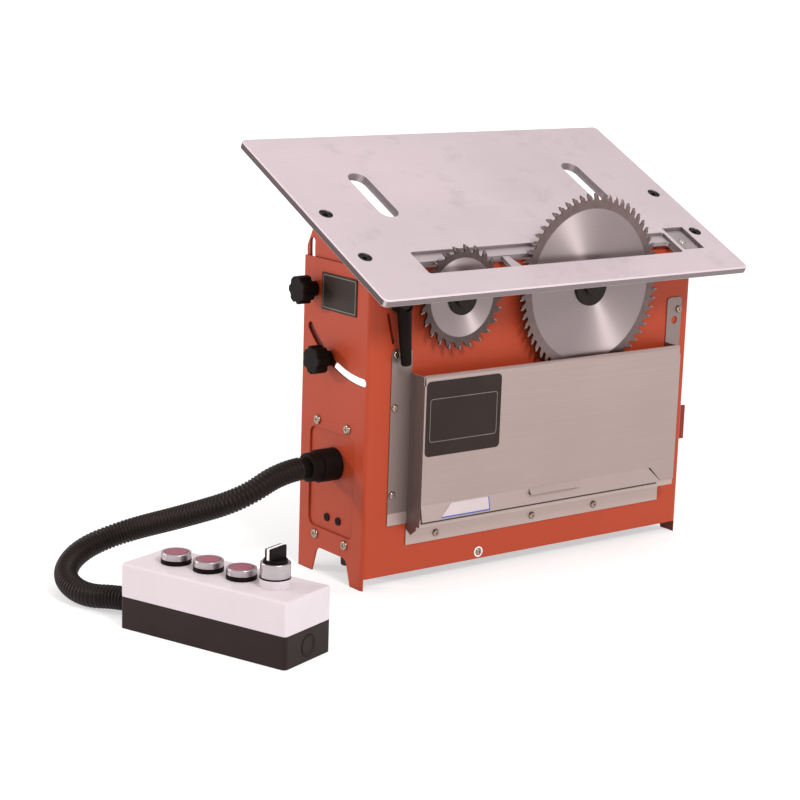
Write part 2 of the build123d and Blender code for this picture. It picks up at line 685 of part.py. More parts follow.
def table_screws():
    screws = []
    seat = table_screw_seat()
    for x, y in table_screw_places():
        screw = rod_z(TABLE_SCREW_HEAD_RADIUS, seat, seat + TABLE_SCREW_HEAD, x, y)
        hexagon = Pos(x, y) * RegularPolygon(TABLE_SCREW_RADIUS, 6)
        screw -= along_z(hexagon, seat + TABLE_SCREW_HEAD / 2, TABLE_TOP)
        screws.append(screw + rod_z(TABLE_SCREW_RADIUS, TABLE_UNDER - SECTOR_SHEET, seat, x, y))
    x, y = block_screw_place()
    seat = TABLE_TOP - 2 * POCKET_DEPTH / 3
    head = rod_z(BLOCK_SCREW_HEAD_RADIUS, seat, TABLE_TOP - TABLE_EDGE / 2, x, y)
    head = fillet(head.edges().group_by(Axis.Z)[-1], TABLE_EDGE)
    screws.append(head + rod_z(BLOCK_SCREW_RADIUS, TABLE_UNDER, seat, x, y))
    return [on_table(screw) for screw in screws]


def sector():
    """The left sector on the level table: a plate with its arc slot, a lower apron behind the side's
    slot and an outward top flange."""
    inner = SHEET + SECTOR_GAP
    outer_arc = UPPER_ARC + BOLT_RADIUS + SLOT_GAP + SECTOR_RIM
    bolt_y, bolt_z = lower_bolt_place()
    apron_arc = LOWER_ARC + BOLT_RADIUS + SLOT_GAP + SECTOR_RIM
    rim_start = -degrees(acos(SECTOR_REACH / outer_arc))
    rim_end = -LOWER_BOLT_ANGLE + SLOT_COVER
    rim = CenterArc((0, 0), outer_arc, rim_start, rim_end - rim_start)
    apron_end = -degrees(acos((bolt_y + BOSS_RADIUS) / apron_arc))
    apron = CenterArc((0, 0), apron_arc, rim_end, apron_end - rim_end)
    outline = make_face(Curve() + [
        Line((-SECTOR_FRONT, TABLE_UNDER), (SECTOR_REACH, TABLE_UNDER)),
        Line((SECTOR_REACH, TABLE_UNDER), rim @ 0),
        rim,
        Line(rim @ 1, apron @ 0),
        apron,
        Line(apron @ 1, (bolt_y + BOSS_RADIUS, bolt_z - BOSS_RADIUS)),
        Line((bolt_y + BOSS_RADIUS, bolt_z - BOSS_RADIUS), (-SECTOR_FRONT, bolt_z - BOSS_RADIUS)),
        Line((-SECTOR_FRONT, bolt_z - BOSS_RADIUS), (-SECTOR_FRONT, TABLE_UNDER)),
    ])
    outline -= arc_slot(UPPER_ARC, -UPPER_BOLT_ANGLE + SLOT_SPARE, -UPPER_BOLT_ANGLE - TILT_MAX - SLOT_SPARE,
                        2 * (BOLT_RADIUS + SLOT_GAP))
    plate = along_x(outline, inner, inner + SECTOR_SHEET)
    plate -= rod_x(BOLT_RADIUS + RUNNING, 0, 2 * inner + SECTOR_SHEET, bolt_y, bolt_z)
    out = TABLE_LEFT + TABLE_SCREW_INSET
    plate += slab(min(out - FLANGE_RIM, inner), max(out + FLANGE_RIM, inner + SECTOR_SHEET), -FLANGE_FRONT,
                  SECTOR_REACH, TABLE_UNDER - SECTOR_SHEET, TABLE_UNDER)
    for x, y in table_screw_places()[:2]:
        plate -= rod_z(TABLE_SCREW_RADIUS + RUNNING, TABLE_UNDER - 2 * SECTOR_SHEET, TABLE_UNDER + 1, x, y)
    return plate


def clamp_bolt(y, z, end):
    """A bolt along X through a sector and a side, its head inside, its tip at the given X."""
    seat = SHEET + SECTOR_GAP + SECTOR_SHEET
    hexagon = Pos(y, z) * RegularPolygon(BOLT_HEAD_RADIUS, 6)
    return along_x(hexagon, seat, seat + BOLT_HEAD) + rod_x(BOLT_RADIUS, end, seat, y, z)


def lock_nut(y, z):
    """The nut outside a side that has no knob."""
    hexagon = Pos(y, z) * RegularPolygon(NUT_RADIUS, 6)
    nut = along_x(hexagon, -KNOB_GAP - NUT_HEIGHT, -KNOB_GAP)
    return nut - rod_x(BOLT_RADIUS + RUNNING, -2 * NUT_HEIGHT, 1, y, z)


KNOB_TIP = -KNOB_GAP - KNOB_HUB - KNOB_HEAD / 2
NUT_TIP = -KNOB_GAP - NUT_HEIGHT - 1


def upper_clamp_bolts():
    y, z = upper_bolt_place()
    return [clamp_bolt(y, z, KNOB_TIP), swap_sides(clamp_bolt(y, z, NUT_TIP)), swap_sides(lock_nut(y, z))]


def lower_clamp_bolts():
    y, z = lower_bolt_place()
    pieces = [clamp_bolt(y, z, KNOB_TIP), swap_sides(clamp_bolt(y, z, NUT_TIP)), swap_sides(lock_nut(y, z))]
    return [on_table(piece) for piece in pieces]


def star_knob(y, z):
    """A lobed knob on the left side, along X."""
    face = Circle(KNOB_RADIUS)
    for k in range(KNOB_LOBES):
        spot = Rot(0, 0, (k + 0.5) * 360 / KNOB_LOBES) * Pos(KNOB_RADIUS + KNOB_SCALLOP / 2, 0)
        face -= spot * Circle(KNOB_SCALLOP)
    base = -KNOB_GAP - KNOB_HUB
    head = along_x(face, base - KNOB_HEAD, base)
    head = chamfer(head.edges().group_by(Axis.X)[0], 1.2)
    knob = head + rod_x(KNOB_HUB_RADIUS, base, -KNOB_GAP, 0, 0)
    knob -= rod_x(BOLT_RADIUS + RUNNING, KNOB_TIP - 1, 1, 0, 0)
    return Pos(0, y, z) * knob


# Blades and spindles
def saw_blade(x, diameter, teeth):
    """A saw blade with hooked teeth, facing forward at the blade plane."""
    radius = diameter / 2
    profile = [(GULLET_START, GULLET_DEPTH), (GULLET_END, GULLET_DEPTH), (TOOTH_BACK, TOOTH_BACK_DROP),
               (TOOTH_TIP, 0)]
    pitch = 2 * pi / teeth
    points = []
    for k in range(teeth):
        for share, drop in profile:
            angle = (k + share) * pitch
            points.append(((radius - drop) * cos(angle), (radius - drop) * sin(angle)))
    outline = Pos(x, SPINDLE_Z) * (polygon(points) - Circle(SPIGOT_RADIUS + RUNNING))
    return along_y(outline, BLADE_FACE, BLADE_REAR)


def spindle(x, flange_radius):
    """A spindle with its inner flange, spigot, threaded nose and pulley seat."""
    flange_back = BLADE_REAR + INNER_FLANGE_THICK
    nose = BLADE_FACE - FLANGE_NUT_THICK - ARBOR_NUT / 3
    shaft = rod_y(ARBOR_RADIUS, nose, BLADE_REAR, x, SPINDLE_Z)
    shaft += rod_y(SPIGOT_RADIUS, BLADE_FACE, BLADE_REAR, x, SPINDLE_Z)
    shaft += rod_y(flange_radius, BLADE_REAR, flange_back, x, SPINDLE_Z)
    shaft += rod_y(SPIGOT_RADIUS, flange_back, CARRIAGE_Y + CARRIAGE_THICK / 2, x, SPINDLE_Z)
    shaft += rod_y(SPINDLE_RADIUS, CARRIAGE_Y, PULLEY_FRONT, x, SPINDLE_Z)
    return shaft + rod_y(PULLEY_SEAT_RADIUS, PULLEY_FRONT, PULLEY_BACK + 2, x, SPINDLE_Z)


def flange_nut(x, radius):
    """The black flange nut in front of a blade, closed in front, with two pin spanner holes."""
    back = BLADE_FACE
    front = back - FLANGE_NUT_THICK
    nut = rod_y(radius, front, back, x, SPINDLE_Z)
    nut = chamfer(nut.edges().group_by(Axis.Y)[0], FLANGE_NUT_THICK / 3)
    cap = rod_y(ARBOR_NUT_RADIUS, front - ARBOR_NUT, front, x, SPINDLE_Z)
    nut += fillet(cap.edges().group_by(Axis.Y)[0], ARBOR_NUT / 2)
    for side in (-1, 1):
        spot = x + side * (ARBOR_NUT_RADIUS + radius) / 2
        nut -= rod_y(PIN_HOLE_RADIUS, front - 1, front + FLANGE_NUT_THICK / 2, spot, SPINDLE_Z)
    return nut - rod_y(ARBOR_RADIUS + RUNNING, front - ARBOR_NUT / 2, back + 1, x, SPINDLE_Z)


def pulley(x, z, radius, bore):
    """A belt pulley behind the housings, with three shallow grooves."""
    wheel = rod_y(radius, PULLEY_FRONT, PULLEY_BACK, x, z)
    for k in range(3):
        y = PULLEY_FRONT + PULLEY_WIDTH * (k + 1) / 4
        ring = rod_y(radius + 1, y - 0.8, y + 0.8, x, z) - rod_y(radius - 1.5, y - 1, y + 1, x, z)
        wheel -= ring
    return wheel - rod_y(bore + RUNNING / 2, PULLEY_FRONT - 1, PULLEY_BACK + 1, x, z)


def rotor(x, z, radius, pulley_radius):
    """A motor's core and shaft with its pulley pressed on."""
    core = rod_y(radius, MOTOR_FRONT + MOTOR_WALL + ROTOR_GAP, MOTOR_BACK - MOTOR_WALL - ROTOR_GAP, x, z)
    core += rod_y(ROTOR_SHAFT_RADIUS, MOTOR_FRONT + ROTOR_GAP, PULLEY_BACK + 2, x, z)
    return core + pulley(x, z, pulley_radius, 0)


# Lift carriage
def guide_block_places():
    top = CARRIAGE_TOP - GUIDE_BLOCK_DROP
    low = CARRIAGE_LOW + GUIDE_BLOCK_DROP
    return [(x, z) for x in GUIDE_XS for z in (top - GUIDE_BLOCK_HEIGHT, low)]


def carriage():
    left = LEVER_X + PINION_RADIUS + 2 * PINION_MODULE
    right = GUIDE_XS[1] + CARRIAGE_EDGE
    frame = slab(left, right, CARRIAGE_Y, CARRIAGE_BACK, CARRIAGE_LOW, CARRIAGE_TOP)
    for x, z in guide_block_places():
        half = GUIDE_BLOCK / 2
        frame += slab(x - half, x + half, CARRIAGE_BACK, GUIDE_Y + half, z, z + GUIDE_BLOCK_HEIGHT)
        frame -= rod_z(BUSH_RADIUS + RUNNING, z - 1, z + GUIDE_BLOCK_HEIGHT + 1, x, GUIDE_Y)
    for x in (MAIN_X, SCORING_X):
        frame -= rod_y(SPIGOT_RADIUS + PANEL_SLOT_GAP / 2, 0, 2 * CARRIAGE_BACK, x, SPINDLE_Z)
    return frame


def guide_bushes():
    bushes = []
    for x, z in guide_block_places():
        ring = rod_z(BUSH_RADIUS, z, z + GUIDE_BLOCK_HEIGHT, x, GUIDE_Y)
        bushes.append(ring - rod_z(GUIDE_RADIUS + RUNNING, z - 1, z + GUIDE_BLOCK_HEIGHT + 1, x, GUIDE_Y))
    return bushes


def spindle_housing(x, radius):
    tube = rod_y(radius, CARRIAGE_BACK, HOUSING_BACK, x, SPINDLE_Z)
    tube += rod_y(radius + HOUSING_FLANGE, CARRIAGE_BACK, CARRIAGE_BACK + HOUSING_FLANGE_THICK, x, SPINDLE_Z)
    return tube - rod_y(BEARING_RADIUS + RUNNING, CARRIAGE_Y, 2 * HOUSING_BACK, x, SPINDLE_Z)


def spindle_bearings():
    bearings = []
    starts = (CARRIAGE_BACK + BEARING_INSET, HOUSING_BACK - BEARING_INSET - BEARING_WIDTH)
    for x in (MAIN_X, SCORING_X):
        for y in starts:
            ring = rod_y(BEARING_RADIUS, y, y + BEARING_WIDTH, x, SPINDLE_Z)
            bore = rod_y(SPINDLE_RADIUS + RUNNING, y - 1, y + BEARING_WIDTH + 1, x, SPINDLE_Z)
            bearings.append(ring - bore)
    return bearings


def motor(x, z, radius, core_radius):
    """A finned motor housing on the carriage, with its rotor's space inside."""
    can = rod_y(radius, MOTOR_FRONT, MOTOR_BACK, x, z)
    pitch = (MOTOR_LENGTH - 2 * MOTOR_WALL) / MOTOR_FINS
    for k in range(MOTOR_FINS):
        y = MOTOR_FRONT + MOTOR_WALL + k * pitch
        groove = rod_y(radius + 1, y, y + pitch / 2, x, z)
        can -= groove - rod_y(radius - FIN_DEPTH, y - 1, y + pitch, x, z)
    can += rod_y(radius / 2, CARRIAGE_BACK, MOTOR_FRONT, x, z)
    can -= rod_y(core_radius + ROTOR_GAP, MOTOR_FRONT + MOTOR_WALL, MOTOR_BACK - MOTOR_WALL, x, z)
    return can - rod_y(ROTOR_SHAFT_RADIUS + RUNNING, MOTOR_FRONT + ROTOR_GAP - 1, MOTOR_BACK + 1, x, z)


def belt(x, motor_z, spindle_radius, motor_radius):
    """A flat belt round a spindle's and a motor's pulley."""
    def loop(grow):
        top = Pos(x, SPINDLE_Z) * Circle(spindle_radius + grow)
        bottom = Pos(x, motor_z) * Circle(motor_radius + grow)
        return make_hull(top.edges() + bottom.edges())
    inside = BELT_GAP
    return along_y(loop(inside + BELT_THICK) - loop(inside), PULLEY_FRONT + 1, PULLEY_BACK - 1)


def pinion_outline():
    """Involute teeth, one of them pointing along +X."""
    base = PINION_RADIUS * cos(radians(PRESSURE_ANGLE))
    tip = PINION_RADIUS + PINION_MODULE
    root = PINION_RADIUS - 1.25 * PINION_MODULE

    def involute(radius):
        angle = acos(base / radius)
        return tan(angle) - angle

    half = pi / (2 * PINION_TEETH) - BACKLASH / (2 * PINION_RADIUS)
    steps = 5
    radii = [base + (tip - base) * k / (steps - 1) for k in range(steps)]
    flank = [(r, half + involute(PINION_RADIUS) - involute(r)) for r in radii]
    flank = [(root, flank[0][1])] + flank
    points = []
    for k in range(PINION_TEETH):
        middle = 2 * pi * k / PINION_TEETH
        for radius, spread in flank:
            points.append((radius * cos(middle - spread), radius * sin(middle - spread)))
        for radius, spread in reversed(flank):
            points.append((radius * cos(middle + spread), radius * sin(middle + spread)))
    return polygon(points)


PINION_FRONT = CARRIAGE_BACK + LEVER_GAP
PINION_BACK = PINION_FRONT + PINION_WIDTH


def pinion_shaft():
    front = -LEVER_Y - LEVER_HUB_RADIUS / 2
    shaft = rod_y(LEVER_SHAFT_RADIUS, front, PINION_FRONT, LEVER_X, LEVER_Z)
    return shaft + along_y(Pos(LEVER_X, LEVER_Z) * pinion_outline(), PINION_FRONT, PINION_BACK)


def lift_lever():
    hub = rod_y(LEVER_HUB_RADIUS, -LEVER_Y - LEVER_HUB_RADIUS / 2, -2 * LEVER_GAP, LEVER_X, LEVER_Z)
    grip = Pos(0, 0, -LEVER_LENGTH / 2) * Cone(LEVER_TIP_RADIUS, LEVER_TOP_RADIUS, LEVER_LENGTH)
    grip = fillet(grip.edges().group_by(Axis.Z)[0], LEVER_TIP_ROUND)
    grip = Pos(LEVER_X, -LEVER_Y, LEVER_Z) * Rot(0, -LEVER_LEAN, 0) * grip
    return hub + grip - rod_y(LEVER_SHAFT_RADIUS + RUNNING / 2, -3 * LEVER_Y, LEVER_Y, LEVER_X, LEVER_Z)


def lift_rack():
    """A rack on the carriage's back, with a gap facing the pinion's level tooth."""
    pitch = pi * PINION_MODULE
    line = LEVER_X + PINION_RADIUS
    tip = line - PINION_MODULE
    root = line + 1.25 * PINION_MODULE
    lean = tan(radians(PRESSURE_ANGLE))
    half = pitch / 4 - BACKLASH / 2
    low = LEVER_Z - (RACK_TEETH / 2) * pitch
    points = [(root + RACK_BACK, low), (root, low)]
    for k in range(RACK_TEETH):
        z = low + (k + 0.5) * pitch
        at_tip = half - PINION_MODULE * lean
        at_root = half + 1.25 * PINION_MODULE * lean
        points += [(root, z - at_root), (tip, z - at_tip), (tip, z + at_tip), (root, z + at_root)]
    high = low + RACK_TEETH * pitch
    points += [(root, high), (root + RACK_BACK, high)]
    return along_y(polygon(points), CARRIAGE_BACK, PINION_BACK + LEVER_GAP)


# Dust box
def front_screw_places():
    """X and Z of the screws through the front panel."""
    left = BOX_LEFT - LEFT_FLANGE_WIDTH + FLANGE_SCREW_INSET
    right = BOX_RIGHT + RIGHT_FLANGE_WIDTH - FLANGE_SCREW_INSET
    strip = STRIP_LOW + STRIP_SCREW_RISE
    places = [(left, LEFT_FLANGE_TOP - FLANGE_SCREW_TOP_DROP)]
    places += [(right, RIGHT_FLANGE_TOP - 3 * FLANGE_SCREW_TOP_DROP)]
    places += [(x, z) for x in (left, right) for z in (FLANGE_SCREW_MIDDLE, FLANGE_SCREW_LOW)]
    places += [(x, strip) for x in STRIP_SCREWS]
    return places + [(BASE_SCREW_X, FRONT_LOW + BASE_SCREW_RISE)]


def front_screws():
    places = front_screw_places()
    screws = [Pos(x, -BOX_SHEET, z) * Rot(90, 0, 0) * pan_screw() for x, z in places[:-1]]
    x, z = places[-1]
    return screws + [Pos(x, 0, z) * Rot(90, 0, 0) * pan_screw()]


def dust_box():
    def flange(x0, x1, top):
        piece = slab(x0, x1, -BOX_SHEET, 0, BOX_LOW, top)
        return fillet(piece.edges().filter_by(Axis.Y).group_by(Axis.Z)[-1], FLANGE_CORNER)
    tray = flange(BOX_LEFT - LEFT_FLANGE_WIDTH, BOX_LEFT + BOX_SHEET, LEFT_FLANGE_TOP)
    tray += flange(BOX_RIGHT - BOX_SHEET, BOX_RIGHT + RIGHT_FLANGE_WIDTH, RIGHT_FLANGE_TOP)
    for x in (BOX_LEFT, BOX_RIGHT - BOX_SHEET):
        tray += slab(x, x + BOX_SHEET, -BOX_OUT, 0, BOX_LOW, BOX_HIGH)
    tray += slab(BOX_LEFT, BOX_RIGHT, -BOX_OUT, 0, BOX_LOW, BOX_LOW + BOX_SHEET)
    tray += slab(BOX_LEFT, BOX_RIGHT, -BOX_SHEET, 0, STRIP_LOW, BOX_LOW + BOX_SHEET)
    tray += slab(BOX_LEFT, BOX_RIGHT, -BOX_OUT, BOX_SHEET - BOX_OUT, BOX_LOW, BOX_LOW + UPSTAND)
    tab = polygon([(0, BOX_LOW + 1), (-TAB_WIDTH, BOX_LOW + 1), (-TAB_WIDTH, BOX_LOW - TAB_DROP / 3),
                   (-TAB_WIDTH / 2, BOX_LOW - TAB_DROP), (0, BOX_LOW - TAB_DROP / 2)])
    tray += along_x(tab, BOX_LEFT, BOX_LEFT + BOX_SHEET)
    for x, z in front_screw_places()[:-1]:
        tray -= rod_y(SCREW_RADIUS + SCREW_GAP, -2 * BOX_SHEET, 1, x, z)
    hole_x = BOX_RIGHT + RIGHT_FLANGE_WIDTH / 2
    hole_z = RIGHT_FLANGE_TOP - FLANGE_HOLE_DROP
    tray -= rod_y(FLANGE_HOLE_RADIUS, -2 * BOX_SHEET, 1, hole_x, hole_z)
    return tray - rod_x(HINGE_RADIUS + RUNNING, BOX_LEFT - 1, BOX_RIGHT + 1, hinge_y(), HINGE_Z)


def hinge_y():
    return -BOX_OUT + HINGE_IN + HINGE_RADIUS


def door_hinge_rod():
    return rod_x(HINGE_RADIUS, BOX_LEFT, BOX_RIGHT, hinge_y(), HINGE_Z)


def dust_door():
    """The door on its rolled top edge, with a kick along the bottom and a lanced finger pull."""
    front = -BOX_OUT - DOOR_GAP
    face = front - BOX_SHEET
    roll = hinge_y() - face
    inner = BOX_SHEET + DOOR_GAP
    bend = DOOR_LOW + DOOR_KICK_HEIGHT
    shoulder = HINGE_Z - roll - BOX_SHEET
    end = BOX_RIGHT - KICK_END_INSET
    door = slab(BOX_LEFT, BOX_RIGHT, face, front, bend, shoulder)
    door += slab(BOX_LEFT + inner, BOX_RIGHT - inner, face, front, shoulder, HINGE_Z)
    kick = polygon([(front, bend), (front - DOOR_KICK, DOOR_LOW), (face - DOOR_KICK, DOOR_LOW), (face, bend)])
    foot = end + DOOR_KICK_HEIGHT
    beyond = polygon([(end, bend), (foot, DOOR_LOW), (BOX_RIGHT + 1, DOOR_LOW), (BOX_RIGHT + 1, bend)])
    door += along_x(kick, BOX_LEFT, BOX_RIGHT) - along_y(beyond, 2 * face, 0)
    side = BOX_RIGHT - KICK_SLIT
    flat = polygon([(end, bend), (foot, DOOR_LOW), (side, DOOR_LOW), (side, bend)])
    door += along_y(Pos(KICK_SLIT, 0) * flat, face, front)
    door += rod_x(roll, BOX_LEFT + inner, BOX_RIGHT - inner, hinge_y(), HINGE_Z)
    door -= rod_x(HINGE_RADIUS + HINGE_GAP, BOX_LEFT - 1, BOX_RIGHT + 1, hinge_y(), HINGE_Z)
    half = PULL_WIDTH / 2
    low = bend - PULL_HEIGHT
    lean = DOOR_KICK * PULL_HEIGHT / DOOR_KICK_HEIGHT
    door -= slab(PULL_X - half, PULL_X + half, 2 * face, front + 1, low, bend)
    lip = polygon([(front, bend), (face, bend), (face - PULL_LIP, low), (front - PULL_LIP, low)])
    door += along_x(lip, PULL_X - half, PULL_X + half)
    cheek = polygon([(front, bend), (face, bend), (face - PULL_LIP, low), (front - lean, low)])
    door += along_x(cheek, PULL_X - half - BOX_SHEET, PULL_X - half)
    return door + along_x(cheek, PULL_X + half, PULL_X + half + BOX_SHEET)


# Conduit
def conduit_cuff():
    cuff = rod_x(CUFF_RADIUS, SHEET - CUFF_LENGTH, SHEET, CUFF_Y, CUFF_Z)
    cuff += rod_x(CUFF_RING_RADIUS, CUFF_MOUTH, SHEET - CUFF_LENGTH, CUFF_Y, CUFF_Z)
    cuff = fillet(cuff.edges().group_by(Axis.X)[0], CUFF_ROUND)
    cuff += rod_x(CUFF_THREAD_RADIUS, SHEET, SHEET + CUFF_THREAD, CUFF_Y, CUFF_Z)
    return cuff - rod_x(HOSE_BORE_RADIUS, CUFF_MOUTH - 1, SHEET + 2 * CUFF_THREAD, CUFF_Y, CUFF_Z)


def gland_end():
    """X, on the control box, of the end wall's outer face where the conduit comes in."""
    return -CONTROL_LENGTH / 2


def conduit_locknuts():
    face = Pos(CUFF_Y, CUFF_Z) * (RegularPolygon(LOCKNUT_RADIUS, 8) - Circle(CUFF_THREAD_RADIUS + RUNNING))
    body_nut = along_x(face, CABLE_PLATE_BACK, CABLE_PLATE_BACK + LOCKNUT)
    face = Pos(0, GLAND_Z) * (RegularPolygon(GLAND_NUT_RADIUS, 8) - Circle(GLAND_THREAD_RADIUS + RUNNING))
    wall = gland_end() + CONTROL_WALL
    return [body_nut, on_control(along_x(face, wall, wall + LOCKNUT))]


def box_gland():
    end = gland_end()
    gland = rod_x(GLAND_RADIUS, end - GLAND_LENGTH, end, 0, GLAND_Z)
    gland = chamfer(gland.edges().group_by(Axis.X)[0], 1.0)
    gland += rod_x(GLAND_THREAD_RADIUS, end, end + CONTROL_WALL + 2 * LOCKNUT, 0, GLAND_Z)
    return on_control(gland - rod_x(HOSE_BORE_RADIUS, 2 * end, 0, 0, GLAND_Z))


def hose_points():
    """The route from the cuff's mouth to the gland's mouth."""
    angle = radians(CONTROL_HEADING)
    mouth = gland_end() - GLAND_LENGTH
    start = [(CUFF_MOUTH - run, CUFF_Y, CUFF_Z) for run in (0, CUFF_RUN)]
    end = [(CONTROL_X + (mouth - run) * cos(angle), CONTROL_Y + (mouth - run) * sin(angle), GLAND_Z)
           for run in (GLAND_RUN, 0)]
    return start + HOSE_MIDDLE + end


def hose_path():
    """Straight runs joined by arcs as large as the runs allow."""
    points = [Vector(*point) for point in hose_points()]
    radii = []
    for before, here, after in zip(points, points[1:], points[2:]):
        turn = radians((here - before).get_angle(after - here))
        shorter = min((here - before).length, (after - here).length)
        radii.append(0.45 * shorter / tan(turn / 2))
    print("hose radii", [round(radius, 1) for radius in radii])
    return FilletPolyline(*points, radius=radii)


def conduit_hose():
    path = hose_path()
    length = path.length
    plain = 2 * HOSE_RADIUS
    ribs = int((length - 2 * plain) / RIB_PITCH)
    start = (length - ribs * RIB_PITCH) / 2

    def ring(distance, radius):
        share = distance / length
        across = Vector(0, 0, 1).cross(path % share)
        return Wire.make_circle(radius, Plane(path @ share, x_dir=across, z_dir=path % share))

    rings = [ring(0, HOSE_ROOT_RADIUS)]
    for k in range(ribs):
        for share, radius in ((0.1, HOSE_ROOT_RADIUS), (0.3, HOSE_RADIUS), (0.7, HOSE_RADIUS),
                              (0.9, HOSE_ROOT_RADIUS)):
            rings.append(ring(start + (k + share) * RIB_PITCH, radius))
    rings.append(ring(length, HOSE_ROOT_RADIUS))
    skin = Solid.make_loft(rings, ruled=True)
    section = Plane(path @ 0, x_dir=(0, 1, 0), z_dir=path % 0) * Circle(HOSE_BORE_RADIUS)
    bore = sweep(section, path=path)
    print("hose length", round(length, 1), "ribs", ribs)
    return skin - bore


# Control box
def post_places():
    x = CONTROL_LENGTH / 2 - POST_INSET
    y = CONTROL_WIDTH / 2 - POST_INSET
    return [(a * x, b * y) for a in (-1, 1) for b in (-1, 1)]


def control_block(shrink, z0, z1):
    face = RectangleRounded(CONTROL_LENGTH - 2 * shrink, CONTROL_WIDTH - 2 * shrink, CONTROL_CORNER)
    return along_z(face, z0, z1)


def box_base():
    base = control_block(0, 0, CONTROL_SPLIT) - control_block(CONTROL_WALL, CONTROL_WALL, CONTROL_SPLIT + 1)
    for x, y in post_places():
        base += rod_z(POST_RADIUS, CONTROL_WALL, CONTROL_SPLIT, x, y)
        base -= rod_z(BOX_SCREW_RADIUS + SCREW_GAP, -1, CONTROL_SPLIT + 1, x, y)
        base -= rod_z(BOX_SCREW_HEAD_RADIUS + SCREW_GAP, -1, BOX_SCREW_RECESS + SCREW_HEAD, x, y)
    end = CONTROL_LENGTH / 2
    base -= rod_x(GLAND_THREAD_RADIUS + SCREW_GAP, -end - 1, 2 * CONTROL_WALL - end, 0, GLAND_Z)
    groove = Circle(KNOCKOUT_RADIUS) - Circle(KNOCKOUT_RADIUS - KNOCKOUT_GROOVE)
    return on_control(base - along_x(Pos(0, GLAND_Z) * groove, end - KNOCKOUT_GROOVE, end + 1))


def box_lid():
    lid = control_block(0, CONTROL_SPLIT, CONTROL_HEIGHT)
    lid = fillet(lid.edges().group_by(Axis.Z)[-1], LID_CORNER)
    lid -= control_block(CONTROL_WALL, CONTROL_SPLIT - 1, CONTROL_HEIGHT - CONTROL_WALL)
    for x, y in post_places():
        lid += rod_z(POST_RADIUS, CONTROL_SPLIT, CONTROL_HEIGHT - CONTROL_WALL, x, y)
        lid -= rod_z(BOX_SCREW_RADIUS + SCREW_GAP, CONTROL_SPLIT - 1, box_screw_tip() + 1, x, y)
    boss = rod_z(SWITCH_RING_RADIUS, CONTROL_HEIGHT - CONTROL_WALL, SELECTOR_Z, SWITCH_PLACES[3], 0)
    lid += boss
    for x in SWITCH_PLACES:
        lid -= rod_z(SWITCH_NECK_RADIUS + SCREW_GAP, CONTROL_SPLIT, SELECTOR_Z + 1, x, 0)
    return on_control(lid)


def box_screw_tip():
    return CONTROL_SPLIT + SCREW_LENGTH


def box_screws():
    screws = []
    for x, y in post_places():
        low = BOX_SCREW_RECESS
        screw = rod_z(BOX_SCREW_HEAD_RADIUS, low, low + SCREW_HEAD, x, y)
        screws.append(on_control(screw + rod_z(BOX_SCREW_RADIUS, low, box_screw_tip(), x, y)))
    return screws


def switch_rings():
    """The black rings under the bezels, thinner under the selector."""
    rings = []
    for k, x in enumerate(SWITCH_PLACES):
        low = SELECTOR_Z if k == 3 else CONTROL_HEIGHT
        high = low + (SELECTOR_RING if k == 3 else SWITCH_RING)
        ring = rod_z(SWITCH_RING_RADIUS, low, high, x, 0)
        ring -= rod_z(SWITCH_NECK_RADIUS + SCREW_GAP, 0, 2 * high, x, 0)
        rings.append(on_control(ring))
    return rings


def switch_bezel(x, low, high):
    """A chrome bezel from low to high on a hollow neck that passes through the lid."""
    bezel = rod_z(BEZEL_RADIUS, low, high, x, 0)
    bezel = fillet(bezel.edges().group_by(Axis.Z)[-1], BEZEL_WALL / 3)
    bezel -= rod_z(BEZEL_RADIUS - BEZEL_WALL, low + BEZEL_FLOOR, high + 1, x, 0)
    bezel += rod_z(SWITCH_NECK_RADIUS, NECK_LOW, low, x, 0)
    return on_control(bezel - rod_z(SWITCH_NECK_BORE, NECK_LOW - 1, low + 2 * BEZEL_FLOOR, x, 0))


def button_bezels():
    return [switch_bezel(x, HEAD_Z, HEAD_Z + BEZEL_HEIGHT) for x in SWITCH_PLACES[:3]]


def selector_bezel():
    low = SELECTOR_Z + SELECTOR_RING
    return switch_bezel(SWITCH_PLACES[3], low, low + SELECTOR_HEIGHT)


def contact_blocks():
    half = CONTACT_SIZE / 2
    low = NECK_LOW - CONTACT_HEIGHT
    return [on_control(slab(x - half, x + half, -half, half, low, NECK_LOW)) for x in SWITCH_PLACES]


def button_cap(x):
    top = HEAD_Z + BEZEL_HEIGHT + CAP_PROUD
    cap = rod_z(BEZEL_RADIUS - BEZEL_WALL - CAP_GAP, top - CAP_THICK, top, x, 0)
    cap = fillet(cap.edges().group_by(Axis.Z)[-1], CAP_THICK / 4)
    return on_control(cap + rod_z(CAP_STEM_RADIUS, NECK_LOW + CAP_TRAVEL + CAP_GAP, top - CAP_THICK, x, 0))


def selector_knob():
    x = SWITCH_PLACES[3]
    bezel_top = SELECTOR_Z + SELECTOR_RING + SELECTOR_HEIGHT
    floor = SELECTOR_Z + SELECTOR_RING + BEZEL_FLOOR + CAP_GAP
    knob = rod_z(BEZEL_RADIUS - BEZEL_WALL - CAP_GAP, floor, bezel_top + SELECTOR_COLLAR, x, 0)
    knob = fillet(knob.edges().group_by(Axis.Z)[-1], 1.0)
    knob += rod_z(CAP_STEM_RADIUS, NECK_LOW + CAP_GAP, floor, x, 0)
    half = SELECTOR_GRIP_WIDTH / 2
    reach = SELECTOR_GRIP_LENGTH / 2
    high = bezel_top + SELECTOR_COLLAR + SELECTOR_GRIP_HEIGHT
    grip = polygon([(-reach, bezel_top), (reach, bezel_top), (reach, high), (-reach, high)])
    return on_control(knob + along_x(grip, x - half, x + half))


